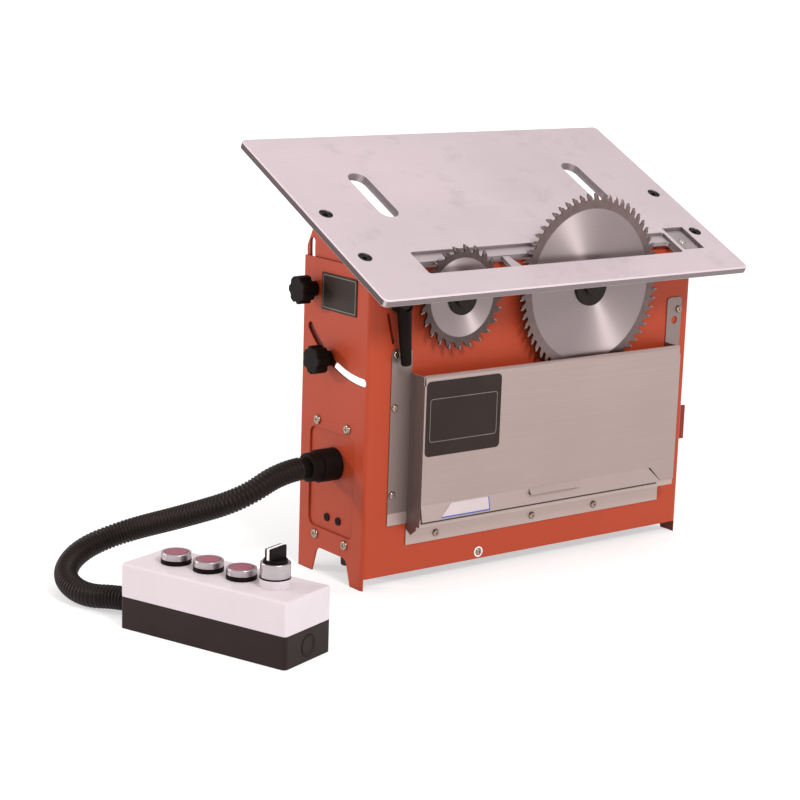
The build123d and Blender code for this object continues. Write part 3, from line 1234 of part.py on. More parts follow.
def build():
    """Every node's solids, before they are set on the origin."""
    left_sector = sector()
    upper_y, upper_z = upper_bolt_place()
    lower_y, lower_z = lower_bolt_place()
    nodes["body_shell"] = body_shell()
    nodes["base_plate"] = base_plate()
    nodes["cable_plate"] = cable_plate()
    nodes["cable_plate_screws"] = cable_plate_screws()
    nodes["nameplate"] = nameplate()
    nodes["side_hook"] = side_hook()
    nodes["dust_box"] = dust_box()
    nodes["front_screws"] = front_screws()
    nodes["door_hinge_rod"] = door_hinge_rod()
    nodes["dust_door"] = dust_door()
    nodes["guide_rods"] = guide_rods()
    nodes["guide_brackets"] = guide_brackets()
    nodes["lever_bush"] = lever_bush()
    nodes["upper_clamp_bolts"] = upper_clamp_bolts()
    nodes["table_plate"] = table_plate()
    nodes["left_sector"] = on_table(left_sector)
    nodes["right_sector"] = on_table(swap_sides(left_sector))
    nodes["table_screws"] = table_screws()
    nodes["insert_block"] = insert_block()
    nodes["lower_clamp_bolts"] = lower_clamp_bolts()
    nodes["upper_knob"] = star_knob(upper_y, upper_z)
    nodes["lower_knob"] = on_table(star_knob(lower_y, lower_z))
    nodes["lift_lever"] = lift_lever()
    nodes["pinion_shaft"] = pinion_shaft()
    nodes["carriage"] = carriage()
    nodes["lift_rack"] = lift_rack()
    nodes["guide_bushes"] = guide_bushes()
    nodes["main_housing"] = spindle_housing(MAIN_X, MAIN_HOUSING_RADIUS)
    nodes["scoring_housing"] = spindle_housing(SCORING_X, SCORING_HOUSING_RADIUS)
    nodes["spindle_bearings"] = spindle_bearings()
    core = {"main": MAIN_MOTOR_RADIUS / 2, "scoring": SCORING_MOTOR_RADIUS / 2}
    nodes["main_motor"] = motor(MAIN_X, MAIN_MOTOR_Z, MAIN_MOTOR_RADIUS, core["main"])
    nodes["scoring_motor"] = motor(SCORING_X, SCORING_MOTOR_Z, SCORING_MOTOR_RADIUS, core["scoring"])
    nodes["main_rotor"] = rotor(MAIN_X, MAIN_MOTOR_Z, core["main"], MAIN_MOTOR_PULLEY_RADIUS)
    nodes["scoring_rotor"] = rotor(SCORING_X, SCORING_MOTOR_Z, core["scoring"], SCORING_MOTOR_PULLEY_RADIUS)
    nodes["main_belt"] = belt(MAIN_X, MAIN_MOTOR_Z, MAIN_PULLEY_RADIUS, MAIN_MOTOR_PULLEY_RADIUS)
    nodes["scoring_belt"] = belt(SCORING_X, SCORING_MOTOR_Z, SCORING_PULLEY_RADIUS,
                                 SCORING_MOTOR_PULLEY_RADIUS)
    nodes["main_spindle"] = spindle(MAIN_X, MAIN_FLANGE_RADIUS)
    nodes["main_blade"] = saw_blade(MAIN_X, MAIN_DIAMETER, MAIN_TEETH)
    nodes["main_flange_nut"] = flange_nut(MAIN_X, MAIN_FLANGE_RADIUS)
    nodes["main_pulley"] = pulley(MAIN_X, SPINDLE_Z, MAIN_PULLEY_RADIUS, PULLEY_SEAT_RADIUS)
    nodes["scoring_spindle"] = spindle(SCORING_X, SCORING_FLANGE_RADIUS)
    nodes["scoring_blade"] = saw_blade(SCORING_X, SCORING_DIAMETER, SCORING_TEETH)
    nodes["scoring_flange_nut"] = flange_nut(SCORING_X, SCORING_FLANGE_RADIUS)
    nodes["scoring_pulley"] = pulley(SCORING_X, SPINDLE_Z, SCORING_PULLEY_RADIUS, PULLEY_SEAT_RADIUS)
    nodes["conduit_cuff"] = conduit_cuff()
    nodes["conduit_locknuts"] = conduit_locknuts()
    nodes["box_gland"] = box_gland()
    nodes["conduit_hose"] = conduit_hose()
    nodes["box_base"] = box_base()
    nodes["box_lid"] = box_lid()
    nodes["box_screws"] = box_screws()
    nodes["switch_rings"] = switch_rings()
    nodes["button_bezels"] = button_bezels()
    nodes["selector_bezel"] = selector_bezel()
    nodes["contact_blocks"] = contact_blocks()
    for k, x in enumerate(SWITCH_PLACES[:3]):
        nodes[f"button_cap_{k + 1}"] = button_cap(x)
    nodes["selector_knob"] = selector_knob()


def solids_of(node):
    pieces = node if isinstance(node, list) else [node]
    return [solid for piece in pieces for solid in piece.solids()]


build()
os.makedirs("parts", exist_ok=True)
standing = Compound(children=[solid for name, node in nodes.items() if name != "conduit_hose"
                              for solid in solids_of(node)]).bounding_box()
ORIGIN = ((standing.min.X + standing.max.X) / 2, (standing.min.Y + standing.max.Y) / 2, 0)
print("origin", [round(value, 4) for value in ORIGIN])
for name, node in nodes.items():
    solids = [Pos(-ORIGIN[0], -ORIGIN[1], -ORIGIN[2]) * solid for solid in solids_of(node)]
    export_step(Compound(children=solids) if len(solids) > 1 else solids[0], f"parts/{name}.step")
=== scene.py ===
import bpy
import math
from mathutils import Matrix, Vector


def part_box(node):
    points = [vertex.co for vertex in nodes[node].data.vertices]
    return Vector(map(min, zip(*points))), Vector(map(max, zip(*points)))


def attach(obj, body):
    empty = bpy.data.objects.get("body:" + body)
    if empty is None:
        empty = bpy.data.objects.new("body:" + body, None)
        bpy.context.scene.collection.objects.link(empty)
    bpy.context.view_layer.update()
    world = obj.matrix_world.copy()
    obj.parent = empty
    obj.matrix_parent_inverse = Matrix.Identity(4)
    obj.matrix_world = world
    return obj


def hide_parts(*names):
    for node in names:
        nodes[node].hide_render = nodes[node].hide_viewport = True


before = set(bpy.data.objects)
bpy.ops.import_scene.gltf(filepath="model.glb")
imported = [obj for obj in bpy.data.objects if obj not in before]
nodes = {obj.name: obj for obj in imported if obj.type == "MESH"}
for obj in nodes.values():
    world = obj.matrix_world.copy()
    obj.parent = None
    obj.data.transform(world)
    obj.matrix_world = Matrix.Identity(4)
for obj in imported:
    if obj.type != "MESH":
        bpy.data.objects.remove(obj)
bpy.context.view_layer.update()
scene = bpy.context.scene

# The CAD's own places in millimetres, before it was set on the origin
ORIGIN_X, ORIGIN_Y = 106.1455, 25.8256
BODY_WIDTH, SHEET = 452.0, 2.0
TILT = math.radians(26.5)
PIVOT_Y, PIVOT_Z = 8.0, 348.8
BLADE_Y, SPINDLE_Z = -12.0, 305.0
MAIN_X, MAIN_RADIUS, MAIN_TEETH = 286.8, 100.0, 60
SCORING_X, SCORING_RADIUS, SCORING_TEETH = 108.6, 55.0, 24
CONTROL_X, CONTROL_Y, CONTROL_TURN = -201.1, -50.6, math.radians(-70.3)

TABLE_UP = Vector((0, -math.sin(TILT), math.cos(TILT)))
TABLE_AHEAD = (0, -math.cos(TILT), -math.sin(TILT))
UP, LEFT = (0, 0, 1), (-1, 0, 0)
FAR = 1.0  # metres, further out than any point of the part


def place(x, y, z):
    """A point of the saw, in metres in the shared frame."""
    return Vector(((x - ORIGIN_X) / 1000, (y - ORIGIN_Y) / 1000, z / 1000))


def on_table(x, u, v):
    """A point on the tilted table: u back from the tilt line, v above it."""
    return place(x, PIVOT_Y + u * math.cos(TILT) - v * math.sin(TILT),
                 PIVOT_Z + u * math.sin(TILT) + v * math.cos(TILT))


def on_control(x, y, z):
    """A point on the control box: x along it, y across it."""
    c, s = math.cos(CONTROL_TURN), math.sin(CONTROL_TURN)
    return place(CONTROL_X + x * c - y * s, CONTROL_Y + x * s + y * c, z)


# Materials
def scaled(color, share):
    return tuple(share * c for c in color)


class Paint:
    """A node material: a shader with its textures set up by short calls."""

    def __init__(self, name, color, metallic=0.0, roughness=0.5, edge=0.4, **sockets):
        self.material = bpy.data.materials.new(name)
        self.material.use_nodes = True
        self.nodes = self.material.node_tree.nodes
        self.links = self.material.node_tree.links
        self.shader = self.nodes["Principled BSDF"]
        self.set("Base Color", (*color, 1.0))
        self.set("Metallic", metallic)
        self.set("Roughness", roughness)
        for socket, value in sockets.items():
            self.set(socket.replace("_", " "), value)
        self.material.diffuse_color = (*color, 1.0)
        texture = self.nodes.new("ShaderNodeTexCoord")
        self.coords = texture.outputs["Object"]
        self.facet = texture.outputs["Normal"]
        self.normal = None
        if edge:
            bevel = self.nodes.new("ShaderNodeBevel")
            bevel.samples = 4
            bevel.inputs["Radius"].default_value = edge / 1000
            self.normal = bevel.outputs["Normal"]
            self.links.new(self.normal, self.shader.inputs["Normal"])

    def set(self, socket, value):
        self.shader.inputs[socket].default_value = value

    def mapped(self, scale=(1, 1, 1), rotation=(0, 0, 0), location=(0, 0, 0)):
        node = self.nodes.new("ShaderNodeMapping")
        node.inputs["Scale"].default_value = scale
        node.inputs["Rotation"].default_value = rotation
        node.inputs["Location"].default_value = location
        self.links.new(self.coords, node.inputs["Vector"])
        return node.outputs["Vector"]

    def split(self, vector=None):
        """The X, Y and Z of a vector, or of the place in the part's own frame."""
        node = self.nodes.new("ShaderNodeSeparateXYZ")
        self.links.new(self.coords if vector is None else vector, node.inputs["Vector"])
        return node.outputs

    def noise(self, scale, detail=3.0, vector=None, rough=0.55):
        node = self.nodes.new("ShaderNodeTexNoise")
        node.inputs["Scale"].default_value = scale
        node.inputs["Detail"].default_value = detail
        node.inputs["Roughness"].default_value = rough
        self.links.new(self.coords if vector is None else vector, node.inputs["Vector"])
        return node.outputs["Fac"]

    def streak(self, scale):
        """Fine marks, drawn out along the axes on which the scale is small."""
        return self.noise(1.0, 4.0, self.mapped(scale), 0.7)

    def ramp(self, fac, stops):
        """Colours or grey levels between stops, each with its place from 0 to 1."""
        node = self.nodes.new("ShaderNodeValToRGB")
        elements = node.color_ramp.elements
        while len(elements) < len(stops):
            elements.new(0.5)
        for element, (where, color) in zip(elements, stops):
            element.position = where
            element.color = (*color, 1.0) if hasattr(color, "__len__") else (color, color, color, 1.0)
        self.links.new(fac, node.inputs["Fac"])
        return node.outputs["Color"]

    def shades(self, fac, dark, light, low=0.3, high=0.7):
        return self.ramp(fac, [(low, dark), (high, light)])

    def math(self, operation, a, b=0.0):
        node = self.nodes.new("ShaderNodeMath")
        node.operation = operation
        for socket, value in zip(node.inputs, (a, b)):
            if isinstance(value, (int, float)):
                socket.default_value = value
            else:
                self.links.new(value, socket)
        return node.outputs["Value"]

    def times(self, a, b):
        return self.math("MULTIPLY", a, b)

    def measure(self, operation, vector, other=(0, 0, 0)):
        """The number that a vector and a fixed second one give, such as their distance."""
        node = self.nodes.new("ShaderNodeVectorMath")
        node.operation = operation
        self.links.new(vector, node.inputs[0])
        node.inputs[1].default_value = other
        return node.outputs["Value"]

    def mix(self, a, b, fac, blend="MIX"):
        node = self.nodes.new("ShaderNodeMix")
        node.data_type = "RGBA"
        node.blend_type = blend
        for target, value in ((node.inputs[0], fac), (node.inputs[6], a), (node.inputs[7], b)):
            if isinstance(value, (int, float)):
                target.default_value = value
            elif isinstance(value, tuple):
                target.default_value = (*value, 1.0)
            else:
                self.links.new(value, target)
        return node.outputs[2]

    def along(self, direction):
        """The cosine between a surface's normal and a direction of the part's own frame."""
        return self.measure("DOT_PRODUCT", self.facet, direction)

    def facing(self, direction, low, high):
        """How far a surface faces a direction of the part's own frame, from 0 at low to 1 at high."""
        return self.shades(self.along(direction), 0.0, 1.0, low, high)

    def between(self, axis, low=-FAR, high=FAR):
        """1 where a point of the part lies between two places in metres along an axis."""
        where = self.split()[axis]
        return self.times(self.math("GREATER_THAN", where, low), self.math("LESS_THAN", where, high))

    def occlusion_shaded(self, output, distance, depth):
        """A colour with painted shade in corners and recesses, found by ambient occlusion within a distance
        in millimetres.
        """
        node = self.nodes.new("ShaderNodeAmbientOcclusion")
        node.samples = 6
        node.inputs["Distance"].default_value = distance / 1000
        painted_shade = self.shades(node.outputs["AO"], 1.0 - depth, 1.0, 0.15, 0.85)
        return self.mix(output, painted_shade, 1.0, "MULTIPLY")

    def color(self, output):
        self.links.new(output, self.shader.inputs["Base Color"])

    def rough(self, fac, low, high):
        node = self.nodes.new("ShaderNodeMapRange")
        node.inputs["To Min"].default_value = low
        node.inputs["To Max"].default_value = high
        self.links.new(fac, node.inputs["Value"])
        self.links.new(node.outputs["Result"], self.shader.inputs["Roughness"])

    def bump(self, height, strength, distance):
        node = self.nodes.new("ShaderNodeBump")
        node.inputs["Strength"].default_value = strength
        node.inputs["Distance"].default_value = distance
        self.links.new(height, node.inputs["Height"])
        if self.normal is not None:
            self.links.new(self.normal, node.inputs["Normal"])
        self.normal = node.outputs["Normal"]
        self.links.new(self.normal, self.shader.inputs["Normal"])


INSIDE_TOP = 330.0  # below this height the body's inside is painted darker, as painted shade
# millimetres short of the sheet's inner face where the body's inside painted shade begins
INSIDE_SHADE_MARGIN = 0.1


def powder_coat(name, light, dark, shaded=True):
    """Sprayed paint with a fine orange peel, with painted shade in corners and recesses and, where shaded,
    inside the folded body.
    """
    p = Paint(name, light, roughness=0.4, edge=0.8, Specular_IOR_Level=0.22)
    cloud = p.shades(p.noise(6.0, 4.0), dark, light, 0.25, 0.75)
    speck = p.shades(p.noise(420.0, 2.0), dark, light)
    tone = p.mix(cloud, speck, 0.3)
    if shaded:
        wall = SHEET - INSIDE_SHADE_MARGIN
        low, high = place(wall, wall, 0), place(BODY_WIDTH - wall, 0, INSIDE_TOP)
        # painted shade: the folded body's inside, below INSIDE_TOP, is darkened
        inside = p.times(p.between("X", low.x, high.x), p.between("Y", low=low.y))
        inside = p.times(inside, p.between("Z", high=high.z))
        tone = p.mix(tone, scaled(dark, 0.3), inside)
    p.color(p.occlusion_shaded(tone, 9.0, 0.35))
    p.rough(p.noise(60.0, 3.0), 0.34, 0.5)
    p.bump(p.noise(1400.0, 2.0), 0.12, 0.0003)
    return p.material


def brushed(name, light, dark, scale, low, high, anisotropic=0.4, edge=0.4, grain=0.05):
    """Bare metal drawn along one direction, its roughness from low to high."""
    p = Paint(name, light, metallic=1.0, roughness=(low + high) / 2, edge=edge, Anisotropic=anisotropic)
    streak = p.streak(scale)
    cloud = p.noise(9.0, 4.0)
    p.color(p.mix(p.shades(streak, dark, light), p.shades(cloud, dark, light), 0.45))
    p.rough(streak, low, high)
    p.bump(streak, grain, 0.0002)
    return p.material


def stainless(name, light, dark, back=None):
    """Satin sheet: painted light where it leans up, a painted highlight on its tops, painted shade on its
    left ends, behind and above a place, back, where that is given, and in corners and recesses."""
    p = Paint(name, light, metallic=0.7, roughness=0.43, edge=0.5, Anisotropic=0.4)
    streak = p.streak((4.0, 500.0, 700.0))
    cloud = p.noise(9.0, 4.0)
    tone = p.mix(p.shades(streak, dark, light), p.shades(cloud, dark, light), 0.45)
    # painted light: faces leaning a little up, such as the door's kick, are lighter
    tone = p.mix(tone, scaled(light, 1.07), p.facing(UP, 0.08, 0.18))
    # painted highlight: faces turned up, such as the rolled top edge, are much lighter
    tone = p.mix(tone, scaled(light, 1.6), p.facing(UP, 0.6, 0.95))
    # painted shade: faces turned left, the sheet's left ends, are darkened
    tone = p.mix(tone, scaled(dark, 0.42), p.facing(LEFT, 0.3, 0.8))
    if back is not None:
        # painted shade: the sheet behind and above back, near the body, is darkened
        behind = p.times(p.between("Y", low=back.y), p.between("Z", low=back.z))
        tone = p.mix(tone, scaled(dark, 0.55), behind)
    p.color(p.occlusion_shaded(tone, 14.0, 0.55))
    p.rough(streak, 0.36, 0.5)
    p.bump(streak, 0.05, 0.0002)
    return p.material


TABLE_EDGE = 0.008  # metres in from the table's box that count as its outer edge
LEDGE_DEPTH = 0.0015  # metres under the table's face that count as sunk, for the ledges' painted shade


def table_alloy(name, face, dull, rim, front):
    """Ground cast alloy: a cloudy pale face; painted shade dulls the walls and ledges in its openings,
    darkens its left end and front edge, and fills corners and recesses; the chamfers are bright with painted
    highlight."""
    p = Paint(name, face, metallic=0.4, roughness=0.6, edge=0.7, Anisotropic=0.25)
    streak = p.streak((3.0, 700.0, 700.0))
    cloud = p.noise(11.0, 5.0, rough=0.6)
    tone = p.mix(p.shades(cloud, dull, face), p.shades(streak, dull, face), 0.4)
    smudge = p.shades(p.noise(26.0, 6.0, rough=0.7), 0.0, 1.0, 0.56, 0.74)
    tone = p.mix(tone, scaled(face, 0.82), smudge)
    scratch = p.noise(1.0, 2.0, p.mapped((28.0, 520.0, 520.0), (0.0, 0.0, 0.35)), 0.6)
    tone = p.mix(tone, scaled(face, 0.86), p.shades(scratch, 0.0, 1.0, 0.68, 0.76))
    low_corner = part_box("table_plate")[0]
    # painted shade: faces turned forward, the walls in the openings and the front edge, are darkened, the
    # front edge most
    ahead = p.facing(TABLE_AHEAD, 0.75, 0.95)
    tone = p.mix(tone, scaled(face, 0.6), ahead)
    tone = p.mix(tone, front, p.times(ahead, p.between("Y", high=low_corner[1] + TABLE_EDGE)))
    # painted shade: faces turned left are darkened, the table's left end most
    leftward = p.facing(LEFT, 0.8, 0.95)
    tone = p.mix(tone, scaled(face, 0.42), leftward)
    tone = p.mix(tone, rim, p.times(leftward, p.between("X", high=low_corner[0] + TABLE_EDGE)))
    # painted shade: ledges sunk below the table's face are darkened
    top = max(TABLE_UP.dot(v.co) for v in nodes["table_plate"].data.vertices)
    height = p.measure("DOT_PRODUCT", p.coords, TABLE_UP)
    sunk = p.math("LESS_THAN", height, top - LEDGE_DEPTH)
    tone = p.mix(tone, scaled(face, 0.74), p.times(sunk, p.facing(TABLE_UP, 0.9, 0.98)))
    # painted highlight: the chamfers, leaning between face and edge, are brightened
    lean = p.math("ABSOLUTE", p.along(TABLE_UP))
    chamfer = p.ramp(lean, [(0.5, 0.0), (0.62, 1.0), (0.78, 1.0), (0.9, 0.0)])
    tone = p.mix(tone, scaled(face, 1.16), chamfer)
    p.color(p.occlusion_shaded(tone, 10.0, 0.7))
    p.rough(cloud, 0.54, 0.68)
    p.bump(streak, 0.05, 0.0002)
    return p.material


def black_and_bright(name, black, bright, centre, reach):
    """Blackened screws, with the ones within reach of a point bright, both in metres."""
    p = Paint(name, black, roughness=0.36, edge=0.25, Specular_IOR_Level=0.15)
    near = p.math("LESS_THAN", p.measure("DISTANCE", p.coords, centre), reach)
    grain = p.noise(300.0, 3.0)
    blackened = p.shades(grain, scaled(black, 0.7), black)
    p.color(p.mix(blackened, p.shades(grain, scaled(bright, 0.8), bright), near))
    p.links.new(near, p.shader.inputs["Metallic"])
    p.rough(grain, 0.3, 0.42)
    return p.material


NO_TINT = (1.0, 1.0, 1.0)
WARM = (1.0, 0.8, 0.77)


def moulded(name, light, dark, low, high, grain=700.0, depth=0.12, edge=0.5, shine=0.35, tint=NO_TINT):
    """Moulded plastic or rubber with a fine grain, its roughness from low to high."""
    p = Paint(name, light, roughness=(low + high) / 2, edge=edge, Specular_IOR_Level=shine,
              Specular_Tint=(*tint, 1.0))
    p.color(p.shades(p.noise(25.0, 4.0), dark, light))
    p.rough(p.noise(90.0, 3.0), low, high)
    p.bump(p.noise(grain, 2.0), depth, 0.0002)
    return p.material


def cast(name, light, dark, roughness=0.6, metallic=0.4, shine=0.5, tint=NO_TINT):
    """Cast or blackened metal with a coarse skin."""
    p = Paint(name, light, metallic=metallic, roughness=roughness, edge=0.8, Specular_IOR_Level=shine,
              Specular_Tint=(*tint, 1.0))
    p.color(p.shades(p.noise(40.0, 5.0), dark, light))
    p.rough(p.noise(120.0, 3.0), roughness - 0.1, roughness + 0.1)
    p.bump(p.noise(600.0, 4.0), 0.2, 0.0004)
    return p.material


HIGHLIGHT_FAN = math.radians(117)  # which way a ground disc's two painted highlight fans lie
HIGHLIGHT_FAN_CORE, HIGHLIGHT_FAN_SKIRT = (26.0, 0.62), (4.0, 0.38)  # the painted highlight fans' sharpness and strength
# the disc's colour away from its painted highlight fans, then within them
DISC_DARK = ((0.232, 0.184, 0.187), (0.292, 0.233, 0.237))
DISC_HIGHLIGHT = ((0.57, 0.476, 0.47), (0.64, 0.545, 0.538))
DISC_STEP = 0.004


def blade_steel(name, hub_x, silver, rim):
    """Ring-ground steel: a disc with two bright fans of painted highlight, out to the radius silver in
    millimetres, then a dull rim."""
    p = Paint(name, (0.6, 0.52, 0.52), metallic=1.0, roughness=0.36, edge=0.15, Anisotropic=0.6)
    centre = place(hub_x, 0, SPINDLE_Z)
    from_hub = p.split(p.mapped(location=(-centre.x, 0, -centre.z)))
    x, z = from_hub["X"], from_hub["Z"]
    radius = p.math("SQRT", p.math("ADD", p.times(x, x), p.times(z, z)))
    noise = p.nodes.new("ShaderNodeTexNoise")
    noise.noise_dimensions = "1D"
    noise.inputs["Scale"].default_value = 2600.0
    noise.inputs["Detail"].default_value = 3.0
    p.links.new(radius, noise.inputs["W"])
    rings = noise.outputs["Fac"]
    # painted highlight: two bright fans through the hub, along the fan angle
    across = p.math("ADD", p.times(x, math.cos(HIGHLIGHT_FAN)), p.times(z, math.sin(HIGHLIGHT_FAN)))
    ray = p.math("DIVIDE", across, p.math("MAXIMUM", radius, 0.001))
    square = p.times(ray, ray)
    core_highlight = p.times(p.math("POWER", square, HIGHLIGHT_FAN_CORE[0]), HIGHLIGHT_FAN_CORE[1])
    skirt_highlight = p.times(p.math("POWER", square, HIGHLIGHT_FAN_SKIRT[0]), HIGHLIGHT_FAN_SKIRT[1])
    disc = p.mix(p.shades(rings, *DISC_DARK), p.shades(rings, *DISC_HIGHLIGHT), p.math("ADD", core_highlight, skirt_highlight))
    dull = p.shades(p.noise(160.0, 4.0), scaled(rim, 0.8), rim, 0.3, 0.75)
    step = silver / 100.0
    beyond = p.shades(p.times(radius, 10.0), 0.0, 1.0, step - DISC_STEP, step + DISC_STEP)
    p.color(p.mix(disc, dull, beyond))
    p.rough(beyond, 0.36, 0.5)
    tangent = p.nodes.new("ShaderNodeTangent")
    tangent.direction_type = "RADIAL"
    tangent.axis = "Y"
    p.links.new(tangent.outputs["Tangent"], p.shader.inputs["Tangent"])
    p.bump(rings, 0.04, 0.0001)
    return p.material


ORANGE, ORANGE_DEEP = (0.405, 0.052, 0.0188), (0.366, 0.0445, 0.015)
# the place behind and above which the dust box's sheet gets painted shade
BOX_BACK = place(0, -6, 80)
BLOCK_SCREW, BLOCK_SCREW_REACH = on_table(425.0, -18.1, 3.0), 0.025
MATERIALS = {
    "orange": powder_coat("orange_powder_coat", ORANGE, ORANGE_DEEP),
    "orange_plate": powder_coat("orange_cover_coat", ORANGE, ORANGE_DEEP, shaded=False),
    # the side hook's coat is the body's orange painted darker, as painted shade
    "orange_painted_shade": powder_coat("orange_hook_painted_shade", (0.22, 0.022, 0.012), (0.19, 0.018, 0.010), shaded=False),
    # rim and front are painted shade on the table's left end and front edge
    "alloy": table_alloy("table_alloy", face=(0.57, 0.478, 0.507), dull=(0.517, 0.43, 0.457),
                         rim=(0.078, 0.06, 0.062), front=(0.21, 0.172, 0.178)),
    # the box's sheet is the door's stainless painted lighter, as painted light
    "door": stainless("satin_door_sheet", (0.41, 0.318, 0.298), (0.36, 0.275, 0.257)),
    "stainless": stainless("satin_box_sheet", (0.50, 0.39, 0.36), (0.44, 0.335, 0.31), BOX_BACK),
    "block": brushed("ground_block", (0.50, 0.42, 0.43), (0.42, 0.345, 0.355), (3.0, 300.0, 300.0),
                     0.36, 0.5),
    "zinc": brushed("passivated_zinc", (0.40, 0.32, 0.265), (0.28, 0.22, 0.18), (200.0, 200.0, 200.0),
                    0.16, 0.28, anisotropic=0.0, edge=0.25),
    "carbide": brushed("carbide_tip", (0.26, 0.22, 0.21), (0.17, 0.143, 0.135), (400.0, 400.0, 400.0),
                       0.3, 0.45, anisotropic=0.0, edge=0.1),
    "black_steel": cast("blackened_steel", (0.013, 0.008, 0.008), (0.008, 0.005, 0.005),
                        roughness=0.42, metallic=0.0, shine=0.22, tint=WARM),
    "black": moulded("black_plastic", (0.0056, 0.0037, 0.0032), (0.0035, 0.0025, 0.0022), 0.46, 0.62,
                     shine=0.1, tint=WARM),
    "base": moulded("box_base_plastic", (0.0205, 0.012, 0.012), (0.0155, 0.0086, 0.0086), 0.46, 0.6,
                    shine=0.2, tint=WARM),
    "hose": moulded("conduit_plastic", (0.0083, 0.006, 0.0051), (0.0053, 0.0039, 0.0034), 0.38, 0.5,
                    edge=0, shine=0.2, tint=WARM),
    "white": moulded("white_plastic", (0.645, 0.57, 0.60), (0.615, 0.54, 0.57), 0.34, 0.46,
                     depth=0.06, edge=1.0),
    "red": moulded("raspberry_cap", (0.265, 0.060, 0.096), (0.23, 0.05, 0.082), 0.3, 0.4, depth=0.05),
    "marker": moulded("pointer_white", (0.85, 0.82, 0.82), (0.78, 0.75, 0.75), 0.4, 0.5),
    "tag": moulded("blank_white_tag", (0.54, 0.455, 0.46), (0.505, 0.42, 0.425), 0.32, 0.42,
                   depth=0.03, edge=0.1),
    "blue": moulded("blue_tag_edge", (0.05, 0.10, 0.38), (0.04, 0.08, 0.31), 0.32, 0.42, depth=0.03, edge=0),
    "chrome": brushed("satin_chrome", (0.51, 0.463, 0.48), (0.41, 0.368, 0.382), (60.0, 60.0, 500.0),
                      0.26, 0.36, anisotropic=0.0, edge=0.3, grain=0.03),
    "plate": moulded("bare_black_plate", (0.023, 0.0145, 0.012), (0.017, 0.0103, 0.0086), 0.34, 0.46,
                     edge=0.2, shine=0.2, tint=WARM),
    "line": moulded("plate_border", (0.19, 0.165, 0.14), (0.14, 0.12, 0.10), 0.4, 0.5, edge=0),
    "machined": brushed("turned_steel", (0.60, 0.57, 0.56), (0.46, 0.43, 0.42), (300.0, 600.0, 300.0),
                        0.25, 0.4),
    "cast": cast("grey_casting", (0.17, 0.165, 0.165), (0.11, 0.105, 0.105)),
    "motor": cast("motor_casting", (0.10, 0.10, 0.11), (0.065, 0.066, 0.073), roughness=0.5),
    "bronze": brushed("bronze_bush", (0.50, 0.33, 0.14), (0.38, 0.24, 0.09), (300.0, 300.0, 300.0),
                      0.3, 0.45, anisotropic=0.0),
    # a dark strip standing in as painted shade for the gap under the door
    "gap_shade": moulded("door_gap_shade", (0.075, 0.058, 0.054), (0.055, 0.042, 0.040), 0.6, 0.75, shine=0.2),
    "rubber": moulded("belt_rubber", (0.016, 0.015, 0.015), (0.010, 0.010, 0.010), 0.65, 0.8,
                      grain=900.0, depth=0.3),
    "main_blade": blade_steel("main_blade_steel", MAIN_X, silver=83.5, rim=(0.20, 0.145, 0.14)),
    "scoring_blade": blade_steel("scoring_blade_steel", SCORING_X, silver=41.5, rim=(0.115, 0.086, 0.082)),
    "table_screw": black_and_bright("table_screw_steel", (0.012, 0.009, 0.009), (0.62, 0.56, 0.53),
                                    BLOCK_SCREW, BLOCK_SCREW_REACH),
}
NODE_MATERIALS = {
    "orange": ("body_shell", "base_plate", "left_sector", "right_sector"),
    "orange_plate": ("cable_plate",),
    "orange_painted_shade": ("side_hook",),
    "alloy": ("table_plate",),
    "stainless": ("dust_box",),
    "door": ("dust_door", "door_hinge_rod"),
    "block": ("insert_block",),
    "zinc": ("cable_plate_screws", "front_screws", "upper_clamp_bolts", "lower_clamp_bolts", "box_screws"),
    "black_steel": ("main_flange_nut", "scoring_flange_nut", "pinion_shaft"),
    "table_screw": ("table_screws",),
    "black": ("upper_knob", "lower_knob", "lift_lever", "conduit_cuff", "conduit_locknuts", "box_gland",
              "switch_rings", "contact_blocks", "selector_knob"),
    "base": ("box_base",),
    "hose": ("conduit_hose",),
    "white": ("box_lid",),
    "red": ("button_cap_1", "button_cap_2", "button_cap_3"),
    "chrome": ("button_bezels", "selector_bezel"),
    "plate": ("nameplate",),
    "machined": ("guide_rods", "lift_rack", "spindle_bearings", "main_rotor", "scoring_rotor",
                 "main_spindle", "scoring_spindle"),
    "cast": ("guide_brackets", "carriage", "main_housing", "scoring_housing"),
    "motor": ("main_motor", "scoring_motor", "main_pulley", "scoring_pulley"),
    "bronze": ("lever_bush", "guide_bushes"),
    "rubber": ("main_belt", "scoring_belt"),
    "main_blade": ("main_blade",),
    "scoring_blade": ("scoring_blade",),
}


def finish(obj, key):
    obj.data.materials.clear()
    obj.data.materials.append(MATERIALS[key])


for key, names in NODE_MATERIALS.items():
    for name in names:
        finish(nodes[name], key)


# Outlines and meshes of the pieces added to the CAD's own
def piece(name, mesh_data, key, body, smooth=False):
    """A mesh object from its points and faces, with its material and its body."""
    verts, faces = mesh_data
    mesh = bpy.data.meshes.new(name)
    mesh.from_pydata([tuple(v) for v in verts], [], faces)
    mesh.update()
    obj = bpy.data.objects.new(name, mesh)
    scene.collection.objects.link(obj)
    if smooth:
        mesh.polygons.foreach_set("use_smooth", [True] * len(mesh.polygons))
    finish(obj, key)
    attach(obj, body)
    return obj


def rectangle(left, right, low, high):
    return [(left, low), (right, low), (right, high), (left, high)]


def rounded(left, right, low, high, corner, steps=6):
    """A rounded rectangle's points, counterclockwise from its lower right corner."""
    found = []
    corners = ((right, low, -1, 1, 270), (right, high, -1, -1, 0),
               (left, high, 1, -1, 90), (left, low, 1, 1, 180))
    for x, y, inward, upward, start in corners:
        for k in range(steps + 1):
            angle = math.radians(start + 90 * k / steps)
            found.append((x + corner * (inward + math.cos(angle)), y + corner * (upward + math.sin(angle))))
    return found


